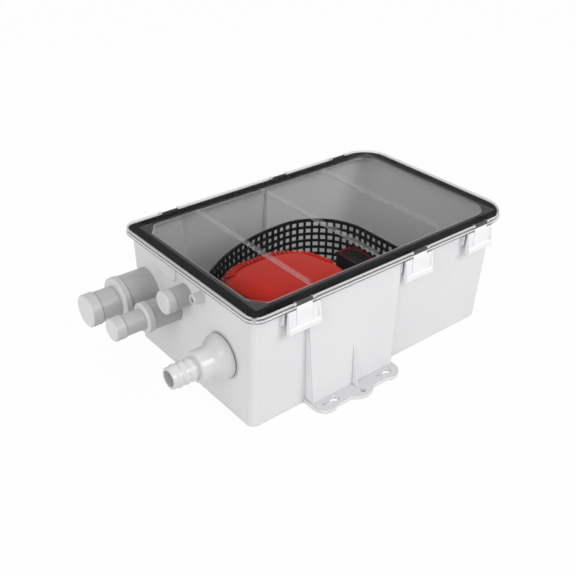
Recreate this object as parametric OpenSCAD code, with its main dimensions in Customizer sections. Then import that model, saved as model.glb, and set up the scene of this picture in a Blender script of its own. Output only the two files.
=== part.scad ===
// Shower sump pump: a drafted tub under a clear lid, with inlet spigots, a strainer and a bilge pump.
// Units are millimetres. +Z is up, the ports face -X, and the feet stand out along both Y sides.
// The origin lies on the base plane, midway between the two centre holes of the feet.

/* [Tub] */
// Outside length of the tub at its rim
box_l = 298.5; // [294:0.5:306]
// Outside width of the tub at its rim
box_w = 188; // [186:0.5:194]
// Height of the tub from its base to its rim
box_h = 113.3; // [112:0.1:118]
// Thickness of the walls and the floor
wall = 2.5; // [2:0.1:3]
// How far the long sides and the far end lean in from rim to base
draft = 5.4; // [4:0.1:6]
// Corner radius at the port end
port_r = 7; // [6:0.1:9]
// Corner radius at the far end
far_r = 24; // [20:1:28]
// Reach of the rim flange past the wall
flange_out = 3.1; // [2.8:0.1:3.4]
// Thickness of the rim flange
flange_t = 2.8; // [2:0.1:3.2]

/* [Feet] */
// Distance from the middle of the tub to the feet, towards the ports
foot_off = 44; // [38:1:48]
// Length of a foot along the tub
foot_l = 98; // [94:1:104]
// Thickness of a foot
foot_t = 4; // [3:0.1:5]
// Distance between the centre holes of the two feet
hole_span = 224; // [222:0.5:228]
// Radius of a centre hole
hole_r = 2.5; // [2:0.1:3]
// Radius of a keyhole's round end
key_r = 4; // [3.6:0.1:4.4]
// Width of a keyhole's slot
key_slot_w = 4; // [3:0.1:4.4]
// Length of a keyhole's slot from the round end's centre
key_slot_l = 12; // [10:0.5:13]
// Length of the raised panel above a foot, at the base
panel_l = 94; // [90:1:96]
// How much that panel widens to each end as it rises
panel_flare = 6.5; // [4:0.5:7]
// Reach of the panel from the middle plane, at the base
panel_v = 99; // [97:0.5:100]
// Reach of the panel from the middle plane, under the rim
panel_top_v = 96; // [95.5:0.1:96.5]

/* [Ports] */
// Places of the ports across the end wall: large, medium, small, cable and discharge
port_y = [67.5, 24, 3, -22, -50];
// Heights of the ports above the base, in the same order
port_z = [62.2, 65, 87.5, 98, 54.5];
// Tube radius of the large, medium and small inlet
inlet_r = [20.2, 13.1, 9.9];
// Spigot radius of the stepped inlets
spigot_r = [14.2, 9.6];
// Rise of an inlet's end collar above its tube
collar_rise = 0.9; // [0.6:0.1:1.2]
// Wall thickness of the inlets
port_wall = 2.5; // [2:0.1:3]
// Reach of the large inlet past the end wall
large_out = 64; // [60:0.5:68]
// Reach of the medium inlet past the end wall
medium_out = 62.5; // [60:0.5:68]
// Reach of the small inlet past the end wall
small_out = 23.5; // [20:0.5:28]
// Outside radius of the cable nozzle
nozzle_r = 4.7; // [4.4:0.1:5.2]
// Radius of the cable nozzle's bore
nozzle_bore_r = 2.6; // [2.2:0.1:3]
// Reach of the cable nozzle past the end wall
nozzle_out = 10; // [9:0.5:12]
// Radius of the discharge barb's rings
barb_r = 10.4; // [10:0.1:10.8]
// Radius of the discharge bore
barb_bore_r = 7.2; // [6.8:0.1:7.6]
// Reach of the discharge fitting past its boss
barb_out = 52.5; // [50:0.5:58]

/* [Lid] */
// Thickness of the lid's plate
lid_t = 2.2; // [2:0.1:2.8]
// Thickness of the lid's skirt
skirt_t = 1.45; // [1.3:0.05:1.8]
// Thickness of the bead round the skirt's lower edge
bead_t = 0.8; // [0.6:0.1:1]
// Height of that bead
bead_h = 2.2; // [1.8:0.1:2.6]
// Gap between the skirt and the tub's flange
lid_gap = 0.4; // [0.4:0.05:0.6]
// How far the skirt hangs below the tub's rim
skirt_drop = 3.3; // [3:0.1:3.6]
// Thickness of the gasket
gasket_t = 1.5; // [1.2:0.1:2]
// Width of the gasket
gasket_w = 12; // [10:0.5:13]
// Places of the lid's cross ribs along its length
rib_x = [-84, -6.5, 72];
// Width of a cross rib
rib_w = 2; // [1.6:0.1:2.4]
// Depth of a cross rib under the plate
rib_d = 1.3; // [1:0.1:1.4]

/* [Latches] */
// Places of the latches along each long side
latch_x = [-104, 27.5, 109];
// Width of a latch
latch_w = 33; // [30:0.5:35]
// Width of a latch's hinge plate
tab_w = 16.4; // [15:0.1:18]
// Length of a latch below its hinge
latch_drop = 26.4; // [25:0.1:28]
// Radius of a latch's hinge stub
stub_r = 0.95; // [0.9:0.01:1]
// Running gap round a hinge stub
stub_gap = 0.05; // [0.04:0.01:0.08]
// Thickness of a latch's plate
latch_t = 1.8; // [1.6:0.1:2]
// Height of the finger bar
finger_h = 6.2; // [5:0.1:7]
// Depth of the finger bar
finger_d = 4.6; // [4:0.1:5]

/* [Strainer] */
// Radius of the strainer's round end
screen_r = 62; // [60:1:64]
// Height of the strainer above the floor
screen_h = 94.5; // [92:0.5:97]
// Thickness of the strainer
screen_t = 2; // [1.6:0.1:2.4]
// Slant of the strainer's long straight stretch
screen_slant = 25.7; // [24:0.1:27]
// Side of one square hole
mesh_hole = 6.3; // [5.8:0.1:6.6]
// Distance from one hole to the next
mesh_pitch = 9.2; // [9:0.1:9.6]

/* [Pump] */
// Radius of the pump cap's round ends
cap_r = 41.5; // [40:0.5:42]
// Half the distance between the centres of those ends
cap_half = 10; // [8:0.5:11]
// Height of the pump above the floor
pump_h = 101; // [98:0.5:103]
// Number of grip ribs on the cap
cap_ribs = 26; // [20:1:30]
// Outside radius of the volute
volute_r = 33; // [32:0.5:34]
// Radius of the impeller
impeller_r = 23; // [20:0.5:25]
// Number of impeller blades
blades = 6; // [4:1:8]
// Radius of the motor's shaft
shaft_r = 2; // [1.5:0.1:2.5]
// Radius of the motor's can
can_r = 17; // [16:0.5:18]
// Inside radius of the short hose
hose_r = 10.1; // [10:0.05:10.2]
// Wall thickness of the short hose
hose_wall = 2.5; // [2:0.1:3]

/* [Float switch] */
// Width of the float switch's case
switch_w = 20; // [18:0.5:21]
// Length of the case
switch_l = 30; // [26:0.5:32]
// Height of the case above its foot
switch_h = 74; // [70:0.5:78]
// Length of the float
float_l = 23; // [20:0.5:24]
// Height of the float
float_h = 18; // [15:0.5:20]
// Radius of the float's hinge pin
float_pin_r = 1.5; // [1.2:0.1:1.8]

/* [Hidden] */
$fn = 64;

// Overrun of a cut past the face that it opens
over = 1;
// Clearance of a glued or screwed joint, and of two bodies that pass each other
fit = 0.05;
gap = 0.3;

// Tub: lean of its walls per unit of height, and how deep a hole through a wall is cut
lean = draft / box_h;
port_x = -box_l / 2;

// Feet: radii of the lobes and hollows, and how far the lobes' and keyholes' centres lie inside the holes
foot_lobe_r = 12;
foot_mid_r = 16;
foot_hollow_r = 8;
foot_lobe_in = 9.5;
foot_mid_in = 10;
key_in = 7.3;
key_places = [-27, 37];
fin_t = 2.2;
fin_h = 56;
fin_in = 6.5;

// Catches and guard ears of the latches on the tub
ear_w = 1.6;
ear_gap = 1.6;
ear_z = 92;
ear_slope = 6;
catch_z = 100;
catch_h = 2.4;
catch_out = 1.6;
hook_w = 11.4;

// Pad on the end wall
pad_r = 7;
pad_y = [17, 50];
pad_z = 91.5;
pad_out = 0.9;

// Inlets: lengths of spigot and collars, and the bevel of their edges
spigot_l = 29.5;
step_collar_l = 6.5;
tip_collar_l = 10;
small_collar_l = 8.5;
inlet_edge = 1;
port_root = wall + 0.1 * wall;
nozzle_edge = 0.5;
nozzle_step = 0.9;
nozzle_lip = 5;
grommet_t = 0.2;
grommet_rim = 1.5;

// Lid sizes, stacked outwards from the tub's flange
skirt_in = flange_out + lid_gap;
tier_out = skirt_in + skirt_t;
lid_out = tier_out + bead_t;
lid_l = box_l + 2 * lid_out;
lid_w = box_w + 2 * lid_out;
plate_z = box_h + gasket_t;
lid_top = plate_z + lid_t;
rim_ease = 0.7;
bead_ease = 0.25;
lip_d = 1.2;
lip_t = 1.5;
lip_cut = 11;
lip_r = 20;
gasket_out = flange_out - gap;
gasket_in = gasket_w - gasket_out;

// Hinge line of a latch, measured from the middle plane and the base
hinge_v = box_w / 2 + tier_out - 0.45 * skirt_t;
hinge_z = plate_z - 0.05 * lid_t;
knuckle_r = stub_r + gap - fit;
notch_w = tab_w + 2 * gap;
stub_l = 2.6;
lug_w = stub_l + gap;
bar_w = 3;
bar_t = 1.6;
arm_t = 1.6;
latch_v = box_w / 2 + skirt_in + 0.3 * gap - hinge_v;

// Strainer: where it stands in the tub, and the ribs that guide its ends
screen_x = 37.7;
screen_cx = screen_x - screen_r;
screen_cy = -20;
screen_tail = 10;
guide_d = 4;
guide_t = 1.5;
guide_h = 74;
mesh_edge = 4;

// Pump levels above the base, its walls and its screws
pump_x = -73.2;
pump_y = -28.2;
base_top = 34;
volute_top = 64;
housing_top = 91;
chamber_wall = 3;
pump_flange_t = 3;
screw_dx = 38;
screw_dy = 8;
screw_l = 12;
screw_r = 1.75;
screw_head_r = 3.4;
screw_head_h = 2.4;
screw_slot_w = 0.7;
cap_wall = 2.5;
cap_skirt = 9;
cap_z = housing_top - 1.1 * cap_wall;
cap_rim_z = wall + pump_h - cap_skirt;
cap_slope = 8;
cap_shift = 4;
cap_lip = 1.2;
rib_t = 1.6;
housing_r = cap_r - cap_wall - 1.6;
outlet_bore_r = 7.4;
outlet_r = 9.6;
outlet_end = 54;
hose_stop = 46.5;
outlet_ridge = 3;
cap_seal_h = 1.8;

// Stand: mounting bosses, ears and slots
base_boss_h = 4;
base_boss_r = 5;
base_ear_r = 5.5;
base_ear_t = 3;
slot_w = 5;
slot_h = 19;
eye_r = 12;
post_h = 14;

// Impeller and motor
vane_h = 13;
vane_t = 1.6;
disc_t = 2;
hub_r = 5;
impeller_gap = 2.5;
seal_r = 6;
seal_h = 5;
shelf_h = 7;
can_skin = 1.2;
magnet_t = 2.4;
air_gap = 0.6;
bush_r = 4;
bush_h = 3;
armature_slot = 2;

// Discharge fitting, measured from its boss outwards
boss_r = 21.6;
boss_out = 0.5;
tail_r = 11;
tail_l = 8.5;
nut_t = 7;
nut_af = 29;
nut_rim = 1.6;
seal_t = 1;
bell_r = 20.8;
bell_rise = 4;
bell_l = 22;
neck_r = 13.8;
barb_l = 24;
barb_pitch = 6.4;
barb_step = 0.9;
flap_r = 8.4;
flap_t = 1.5;
flap_bore_r = 6.8;
chamber_r = 11.5;
chamber_l = 21;
flap_pin_r = 0.8;
flap_hub_r = 1.4;
flap_hub_l = 8;
flap_rise = 8.6;
pin_seat = 2;

// Hose clamps
band_w = 5;
band_t = 0.8;
clamp_box_w = 12;
clamp_box_h = 3;
clamp_screw_r = 2;

// Float switch
switch_x = 8;
switch_y = -14;
switch_rim = 4;
switch_plate_t = 2.5;
cover_out = 0.8;
cover_t = 3;
switch_screw_r = 1.2;
switch_screw_l = 4.6;
float_pivot_z = 36;
float_pivot_in = 4.5;
float_ear_t = 2.4;
float_ear_r = 4;
float_hub_r = 3.2;
float_arm_l = 5;
float_drop = 7;
float_round = 4;

// Distance of a long side and of the far end from the middle, at a height above the base
function side_v(z) = box_w / 2 - lean * (box_h - z);
function far_x(z) = box_l / 2 - lean * (box_h - z);

// Points of an arc round a centre, from one angle to another
function arc(cx, cy, r, from, to, steps) =
    [for (i = [0 : steps]) let (a = from + (to - from) * i / steps) [cx + r * cos(a), cy + r * sin(a)]];

// Upright block with round corners: ra at its -X end, rb at its +X end
module round_block(l, w, ra, rb, h) {
    translate([ra - l / 2, -w / 2, 0]) cube([l - ra - rb, w, h]);
    block_end(l, w, ra, h, 0);
    mirror([1, 0, 0]) block_end(l, w, rb, h, 0);
}

// The -X end of a block: a slab between two quarter cones; l, w and r are its top sizes, d its lean
module block_end(l, w, r, h, d) {
    rotate([90, 0, 0])
        linear_extrude(w - 2 * r, center = true)
            polygon([[d - l / 2, 0], [r - l / 2, 0], [r - l / 2, h], [-l / 2, h]]);
    for (side = [-1, 1])
        translate([r - l / 2, side * (w / 2 - r), 0])
            rotate([0, 0, side > 0 ? 90 : 180])
                rotate_extrude(angle = 90)
                    polygon([[0, 0], [r - d, 0], [r, h], [0, h]]);
}

// Slab along X whose long sides lean as the tub's do, at an inset from them
module tub_slab(x0, x1, inset, z0, z1) {
    translate([x0, 0, 0])
        rotate([90, 0, 90])
            linear_extrude(x1 - x0)
                polygon([[inset - side_v(z0), z0], [side_v(z0) - inset, z0],
                    [side_v(z1) - inset, z1], [inset - side_v(z1), z1]]);
}

// Sweeps a profile round a rounded rectangle; the profile's x runs outwards from the outline
module rim_sweep(l, w, ra, rb) {
    for (side = [0, 1])
        mirror([0, side, 0])
            translate([ra - l / 2, -w / 2, 0])
                rotate([90, 0, 90])
                    linear_extrude(l - ra - rb)
                        mirror([1, 0, 0]) children();
    for (end = [0, 1])
        mirror([end, 0, 0])
            rim_end(l, w, end > 0 ? rb : ra) children();
}

module rim_end(l, w, r) {
    translate([-l / 2, 0, 0])
        rotate([90, 0, 0])
            linear_extrude(w - 2 * r, center = true)
                mirror([1, 0, 0]) children();
    for (side = [-1, 1])
        translate([r - l / 2, side * (w / 2 - r), 0])
            rotate([0, 0, side > 0 ? 90 : 180])
                rotate_extrude(angle = 90)
                    translate([r, 0]) children();
}

// Moves pieces drawn from the middle of the tub into the frame of the feet
module in_tub() {
    translate([foot_off, 0, 0]) children();
}

// A cylinder along X from one x to another
module rod_x(x0, x1, r) {
    translate([x0, 0, 0]) rotate([0, 90, 0]) cylinder(r = r, h = x1 - x0);
}

// The tub's outer form at an inset, between two heights: upright at the port end, drafted elsewhere
module tub_form(inset, z0, z1) {
    ra = port_r - inset;
    rb = far_r - inset - lean * (box_h - z1);
    port_in = port_x + inset;
    tilt = atan(lean);
    lap = ra / 10;
    tub_slab(port_in + ra - lap, far_x(z1) - inset - rb, inset, z0, z1);
    tub_slab(port_in, port_in + ra, inset + ra / cos(tilt) - lap, z0, z1);
    intersection() {
        for (side = [-1, 1])
            translate([port_in + ra, side * (box_w / 2 - inset - ra / cos(tilt)), box_h])
                rotate([-side * tilt, 0, 0])
                    cylinder(r = ra, h = 3 * box_h, center = true);
        translate([-box_l, -box_w, z0]) cube([2 * box_l, 2 * box_w, z1 - z0]);
    }
    translate([0, 0, z0])
        mirror([1, 0, 0])
            block_end(2 * (far_x(z1) - inset), 2 * (side_v(z1) - inset), rb, z1 - z0, lean * (z1 - z0));
}

// Raised panel over a foot: its face leans in and its ends flare as it rises
module foot_panel(skin) {
    top = skin > 0 ? box_h + over : box_h - flange_t / 2;
    half = panel_l / 2 - skin;
    root = side_v(0) - 3 * wall;
    intersection() {
        translate([-foot_off - panel_l, 0, 0])
            rotate([90, 0, 90])
                linear_extrude(2 * panel_l)
                    polygon([[root, skin], [panel_v - skin, skin], [panel_top_v - skin, top], [root, top]]);
        translate([-foot_off, 2 * box_w, 0])
            rotate([90, 0, 0])
                linear_extrude(2 * box_w)
                    polygon([[-half, 0], [half, 0], [half + panel_flare, top], [-half - panel_flare, top]]);
    }
}

// Outline of a foot, drawn from its middle: two end lobes and a larger middle lobe with hollows between
module foot_outline() {
    lobe_x = foot_l / 2 - foot_lobe_r;
    lobe_v = hole_span / 2 - foot_lobe_in;
    mid_v = hole_span / 2 - foot_mid_in;
    waist_v = lobe_v + 0.8 * foot_lobe_r;
    hollow_v = waist_v + foot_hollow_r;
    hollow_x = sqrt(pow(foot_mid_r + foot_hollow_r, 2) - pow(hollow_v - mid_v, 2));
    turn = atan2(hollow_v - mid_v, hollow_x);
    meet = 180 - asin((waist_v - lobe_v) / foot_lobe_r);
    half = concat(arc(0, mid_v, foot_mid_r, 90, turn, 8),
        arc(hollow_x, hollow_v, foot_hollow_r, 180 + turn, 270, 5),
        arc(lobe_x, lobe_v, foot_lobe_r, meet, 0, 10),
        [[foot_l / 2, side_v(0) - wall / 2]]);
    left = [for (i = [len(half) - 1 : -1 : 1]) [-half[i][0], half[i][1]]];
    polygon(concat(half, left));
}

module keyhole() {
    translate([0, 0, -over]) {
        cylinder(r = key_r, h = foot_t + 2 * over);
        translate([-key_slot_l, -key_slot_w / 2, 0])
            cube([key_slot_l, key_slot_w, foot_t + 2 * over]);
        translate([-key_slot_l, 0, 0]) cylinder(r = key_slot_w / 2, h = foot_t + 2 * over);
    }
}

// One foot with its fin, drawn on the +Y side of the tub
module foot() {
    key_v = hole_span / 2 - key_in;
    fin_v = hole_span / 2 - fin_in;
    translate([-foot_off, 0, 0]) {
        difference() {
            linear_extrude(foot_t) foot_outline();
            translate([0, hole_span / 2, -over]) cylinder(r = hole_r, h = foot_t + 2 * over);
            for (x = key_places) translate([x, key_v, 0]) keyhole();
        }
        translate([-fin_t / 2, 0, 0])
            rotate([90, 0, 90])
                linear_extrude(fin_t)
                    polygon([[side_v(0), foot_t / 2], [fin_v, foot_t / 2], [fin_v - foot_t / 4, 1.5 * foot_t],
                        [panel_top_v, fin_h], [side_v(fin_h), fin_h]]);
    }
}

// Guard ears and catch ridge of one latch, drawn on the +Y side
module latch_seat() {
    ear_v = box_w / 2 + flange_out - gap;
    ear_top = box_h - flange_t / 2;
    catch_v = side_v(catch_z) + catch_out;
    for (side = [0, 1])
        mirror([side, 0, 0])
            translate([latch_w / 2 + ear_gap, 0, 0])
                rotate([90, 0, 90])
                    linear_extrude(ear_w)
                        polygon([[side_v(ear_z) - wall / 2, ear_z], [ear_v, ear_z + ear_slope],
                            [ear_v, ear_top], [side_v(ear_top) - wall / 2, ear_top]]);
    translate([-tab_w / 2, 0, 0])
        rotate([90, 0, 90])
            linear_extrude(tab_w)
                polygon([[side_v(catch_z) - wall / 2, catch_z], [catch_v, catch_z],
                    [catch_v, catch_z + 0.4 * catch_h],
                    [side_v(catch_z) - wall / 2, catch_z + 1.6 * catch_h]]);
}

// Notch in the rim that lets a latch's hook pass when the lid is lifted, on the +Y side
module hook_notch() {
    notch_z = box_h - flange_t - wall;
    translate([-hook_w / 2 - gap, side_v(catch_z) + catch_out, notch_z])
        cube([hook_w + 2 * gap, flange_out + wall, box_h + over - notch_z]);
}

// Two ribs that hold an end of the strainer, drawn along +X from the wall
module screen_guide(depth) {
    for (side = [-1, 1])
        translate([0, side * (screen_t / 2 + gap + guide_t / 2) - guide_t / 2, wall / 2])
            cube([depth, guide_t, guide_h]);
}

// Tongue-shaped pad moulded high on the end wall
module end_pad() {
    translate([port_x - pad_out, 0, 0])
        rotate([90, 0, 90])
            linear_extrude(pad_out + wall / 2)
                polygon(concat(arc(pad_y[0] + pad_r, pad_z + pad_r, pad_r, 180, 270, 5),
                    [[pad_y[1], pad_z], [pad_y[1], box_h - flange_t / 2],
                        [pad_y[0], box_h - flange_t / 2]]));
}

// Hole along +X through the end wall
module end_hole(i, r, depth) {
    translate([0, port_y[i], port_z[i]]) rod_x(port_x - boss_out - over, port_x + depth + over, r);
}

module sump_box() color("gainsboro") in_tub() {
    boss_in = 2 * wall;
    difference() {
        union() {
            tub_form(0, 0, box_h);
            translate([0, 0, box_h])
                rim_sweep(box_l, box_w, port_r, far_r)
                    polygon([[-wall / 2, -flange_t - wall / 2], [0, -flange_t - wall / 2],
                        [flange_out - gap, -flange_t], [flange_out, -flange_t + gap],
                        [flange_out, -gap], [flange_out - gap, 0], [-wall / 2, 0]]);
            for (side = [0, 1])
                mirror([0, side, 0]) {
                    foot_panel(0);
                    foot();
                    for (x = latch_x) translate([x, 0, 0]) latch_seat();
                }
            end_pad();
            translate([0, port_y[4], port_z[4]]) rod_x(port_x - boss_out, port_x + wall / 2, boss_r);
        }
        difference() {
            union() {
                tub_form(wall, wall, box_h + over);
                for (side = [0, 1]) mirror([0, side, 0]) foot_panel(wall);
            }
            translate([0, port_y[4], port_z[4]]) rod_x(port_x, port_x + boss_in, boss_r);
            translate([port_x, screen_end_y(), 0]) screen_guide(wall + 2 * guide_d);
            translate([screen_x - screen_t / 2, -side_v(0), 0])
                rotate([0, 0, 90]) screen_guide(wall + guide_d);
            for (side = [-1, 1])
                translate([pump_x + side * base_ear_x, pump_y, 0])
                    cylinder(r = base_boss_r, h = wall + base_boss_h);
        }
        for (side = [0, 1])
            mirror([0, side, 0])
                for (x = latch_x) translate([x, 0, 0]) hook_notch();
        for (i = [0 : 2]) end_hole(i, inlet_r[i] + fit, wall);
        end_hole(3, nozzle_r + fit, wall);
        end_hole(4, tail_r + fit, boss_in);
        for (side = [-1, 1])
            translate([pump_x + side * base_ear_x, pump_y, wall / 2])
                cylinder(r = screw_r + fit, h = wall + base_boss_h);
    }
}

// Inlet with a closed end: a tube, a collar and a smaller spigot with its own collar
module stepped_inlet(i, reach) {
    root = -port_x - port_root;
    tip = -port_x + reach;
    step = tip - spigot_l;
    big = inlet_r[i];
    small = spigot_r[i];
    rim = big + collar_rise;
    tip_r = small + collar_rise;
    translate([0, port_y[i], port_z[i]])
        rotate([0, -90, 0])
            rotate_extrude()
                polygon([[big - port_wall, root], [big, root], [big, step - step_collar_l],
                    [rim, step - step_collar_l], [rim, step - inlet_edge], [rim - inlet_edge, step],
                    [small, step], [small, tip - tip_collar_l], [tip_r, tip - tip_collar_l],
                    [tip_r, tip - inlet_edge], [tip_r - inlet_edge, tip], [0, tip],
                    [0, tip - port_wall], [small - port_wall, tip - port_wall],
                    [small - port_wall, step - port_wall], [big - port_wall, step - port_wall]]);
}

module inlet_port_large() color("darkgray") in_tub() stepped_inlet(0, large_out);

module inlet_port_medium() color("darkgray") in_tub() stepped_inlet(1, medium_out);

module inlet_port_small() color("darkgray") in_tub() {
    root = -port_x - port_root;
    tip = -port_x + small_out;
    big = inlet_r[2];
    rim = big + 0.6 * collar_rise;
    translate([0, port_y[2], port_z[2]])
        rotate([0, -90, 0])
            rotate_extrude()
                polygon([[big - port_wall, root], [big, root], [big, tip - small_collar_l],
                    [rim, tip - small_collar_l], [rim, tip - inlet_edge], [rim - inlet_edge, tip],
                    [0, tip], [0, tip - port_wall], [big - port_wall, tip - port_wall]]);
}

module cable_nozzle() color("silver") in_tub() {
    root = -port_x - port_root;
    tip = -port_x + nozzle_out;
    seat = nozzle_bore_r + nozzle_step;
    translate([0, port_y[3], port_z[3]])
        rotate([0, -90, 0])
            rotate_extrude()
                polygon([[seat, root], [nozzle_r, root], [nozzle_r, tip - nozzle_edge],
                    [nozzle_r - nozzle_edge, tip], [nozzle_bore_r, tip],
                    [nozzle_bore_r, tip - nozzle_lip], [seat, tip - nozzle_lip]]);
}

// Rubber sleeve that grips the cable where it comes in
module cable_grommet() color("dimgray") in_tub() {
    root = -port_x - port_root;
    tip = -port_x + nozzle_out - nozzle_lip;
    seat = nozzle_bore_r + nozzle_step - fit;
    bore = nozzle_bore_r - grommet_t;
    translate([0, port_y[3], port_z[3]])
        rotate([0, -90, 0])
            rotate_extrude()
                polygon([[bore, root - grommet_rim], [nozzle_r, root - grommet_rim], [nozzle_r, root],
                    [seat, root], [seat, tip], [bore, tip]]);
}

// Boss faces of the discharge, the plane where its flap seats, and the flap's pin
boss_face = port_x - boss_out;
nut_face = port_x + 2 * wall;
flap_seat = boss_face - 3 * seal_t;
flap_pin_x = flap_seat - flap_hub_r - gap;
flap_pin_half = sqrt(pow(chamber_r, 2) - pow(flap_rise, 2)) + pin_seat;

// Barb, neck and bell outside, threaded tail and inner barb inside, with the valve's room in the bell
module discharge_fitting() color("whitesmoke") in_tub() {
    face = -boss_face + seal_t;
    tip = -boss_face + barb_out;
    neck = tip - barb_l;
    root_r = barb_r - barb_step;
    nut = -nut_face - nut_t;
    inner = nut - tail_l;
    edge = 0.5 * barb_step;
    difference() {
        translate([0, port_y[4], port_z[4]])
            rotate([0, -90, 0])
                rotate_extrude()
                    polygon(concat(
                        [[flap_bore_r, inner], [root_r - edge, inner], [root_r + edge, inner + 0.2 * tail_l],
                            [root_r, inner + 0.3 * tail_l], [root_r, nut - edge], [tail_r, nut - edge],
                            [tail_r, face], [bell_r - edge, face], [bell_r, face + edge]],
                        arc(0, face + bell_rise, bell_r, 0, 48, 6),
                        [[neck_r, face + bell_l], [neck_r, neck - barb_step],
                            [neck_r - barb_step, neck], [root_r, neck]],
                        [for (k = [0.35 : 2.35]) each [[root_r, neck + k * barb_pitch],
                            [barb_r, neck + (k + 0.2) * barb_pitch], [barb_r, neck + (k + 0.45) * barb_pitch],
                            [root_r, neck + (k + 0.8) * barb_pitch]]],
                        [[root_r, tip - edge], [root_r - edge, tip], [barb_bore_r, tip],
                            [barb_bore_r, face + 1.3 * chamber_l], [chamber_r, face + chamber_l],
                            [chamber_r, -flap_seat], [flap_bore_r, -flap_seat]]));
        translate([flap_pin_x, port_y[4], port_z[4] + flap_rise])
            rotate([90, 0, 0])
                cylinder(r = flap_pin_r + fit / 2, h = 2 * flap_pin_half + fit, center = true);
    }
}

module discharge_seal() color("dimgray") in_tub() {
    translate([boss_face, port_y[4], port_z[4]])
        rotate([0, -90, 0])
            difference() {
                cylinder(r = bell_r - gap, h = seal_t);
                translate([0, 0, -over]) cylinder(r = tail_r + fit, h = seal_t + 2 * over);
            }
}

// Locknut with a flanged face against the boss
module discharge_nut() color("whitesmoke") in_tub() {
    translate([nut_face, port_y[4], port_z[4]])
        rotate([0, 90, 0])
            difference() {
                union() {
                    cylinder(r = nut_af / 2, h = nut_t, $fn = 6);
                    cylinder(r = 0.52 * nut_af, h = nut_rim);
                }
                translate([0, 0, -over]) cylinder(r = tail_r + fit, h = nut_t + 2 * over);
            }
}

// Flap on its hub, hung from a pin at the top of the valve's room
module check_flap() color("dimgray") in_tub() {
    translate([flap_pin_x, port_y[4], port_z[4]])
        difference() {
            union() {
                rod_x(flap_hub_r - flap_t, flap_hub_r, flap_r);
                translate([flap_hub_r - flap_t, -flap_hub_l / 2, 0]) cube([flap_t, flap_hub_l, flap_rise]);
                translate([0, 0, flap_rise])
                    rotate([90, 0, 0]) cylinder(r = flap_hub_r, h = flap_hub_l, center = true);
            }
            translate([0, 0, flap_rise])
                rotate([90, 0, 0])
                    cylinder(r = flap_pin_r + fit, h = flap_hub_l + 2 * over, center = true);
        }
}

module flap_pin() color("silver") in_tub() {
    translate([flap_pin_x, port_y[4], port_z[4] + flap_rise])
        rotate([90, 0, 0])
            cylinder(r = flap_pin_r, h = 2 * flap_pin_half, center = true);
}

// Where the hose lies between the tail's nut and the pump's outlet
hose_from = nut_face + nut_t + 2.5 * gap;
hose_to = pump_x - hose_stop;

module discharge_hose() color("black") in_tub() {
    translate([0, port_y[4], port_z[4]])
        difference() {
            rod_x(hose_from, hose_to, hose_r + hose_wall);
            rod_x(hose_from - over, hose_to + over, hose_r);
        }
}

// Worm-drive clamp: a band and the housing of its screw
module hose_clamp(x) {
    band_r = hose_r + hose_wall + fit;
    translate([x, port_y[4], port_z[4]])
        difference() {
            union() {
                rod_x(0, band_w, band_r + band_t);
                translate([0, -clamp_box_w / 2, band_r]) cube([band_w, clamp_box_w, clamp_box_h]);
                translate([band_w / 2, 0.8 * clamp_box_w, band_r + clamp_screw_r / 2])
                    rotate([90, 0, 0]) cylinder(r = clamp_screw_r, h = clamp_box_w / 3);
            }
            rod_x(-over, band_w + over, band_r);
        }
}

module hose_clamp_wall() color("silver") in_tub() hose_clamp(hose_from + 0.2 * band_w);

module hose_clamp_pump() color("silver") in_tub() hose_clamp(hose_to - 1.2 * band_w);

// Where the strainer's slanted stretch meets the round end and the end wall
function slant_a() = 90 + screen_slant;
function slant_start() = [screen_cx + screen_r * cos(slant_a()), screen_cy + screen_r * sin(slant_a())];
function screen_tail_x() = screen_tail + port_x;
function slant_l() = (slant_start()[0] - screen_tail_x()) / cos(screen_slant);
function screen_end_y() = slant_start()[1] - slant_l() * sin(screen_slant);

// Plan of the strainer's middle line, moved outwards by a distance
function screen_line(d) = concat(
    [[screen_x + d - screen_t / 2, -box_w / 2]],
    arc(screen_cx, screen_cy, screen_r + d - screen_t / 2, 0, slant_a(), 24),
    [[screen_tail_x() + (screen_t / 2 - d) * tan(screen_slant / 2), screen_end_y() + d]],
    [[port_x, screen_end_y() + d]]);

// One upright row of square holes, cut along +X
module hole_column() {
    rows = floor((screen_h - mesh_edge) / mesh_pitch);
    for (k = [0 : rows - 1])
        translate([-2 * screen_t, -mesh_hole / 2, wall + mesh_edge + k * mesh_pitch])
            cube([4 * screen_t, mesh_hole, mesh_hole]);
}

// Fence of square mesh round the pump: straight, round and slanted stretches in one moulding
module strainer_screen() color("black") in_tub() {
    straight_n = floor((side_v(0) + screen_cy - 1.5 * mesh_edge) / mesh_pitch);
    round_n = floor(slant_a() * PI / 180 * screen_r / mesh_pitch);
    slant_n = floor((slant_l() - mesh_edge / 2) / mesh_pitch);
    difference() {
        intersection() {
            translate([0, 0, wall])
                linear_extrude(screen_h)
                    polygon(concat(screen_line(screen_t / 2),
                        [for (i = [len(screen_line(0)) - 1 : -1 : 0]) screen_line(-screen_t / 2)[i]]));
            tub_form(wall + gap, 0, box_h);
        }
        for (k = [0 : straight_n - 1])
            translate([screen_x - screen_t / 2, screen_cy - (k + 0.5) * mesh_pitch, 0]) hole_column();
        for (k = [0 : round_n - 1])
            translate([screen_cx, screen_cy, 0])
                rotate([0, 0, (k + 0.5) * slant_a() / round_n])
                    translate([screen_r - screen_t / 2, 0, 0]) hole_column();
        for (k = [0 : slant_n - 1])
            translate([slant_start()[0] - (k + 0.5) * mesh_pitch * cos(screen_slant),
                slant_start()[1] - (k + 0.5) * mesh_pitch * sin(screen_slant), 0])
                rotate([0, 0, slant_a()])
                    translate([-screen_t / 2, 0, 0]) hole_column();
    }
}

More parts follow.
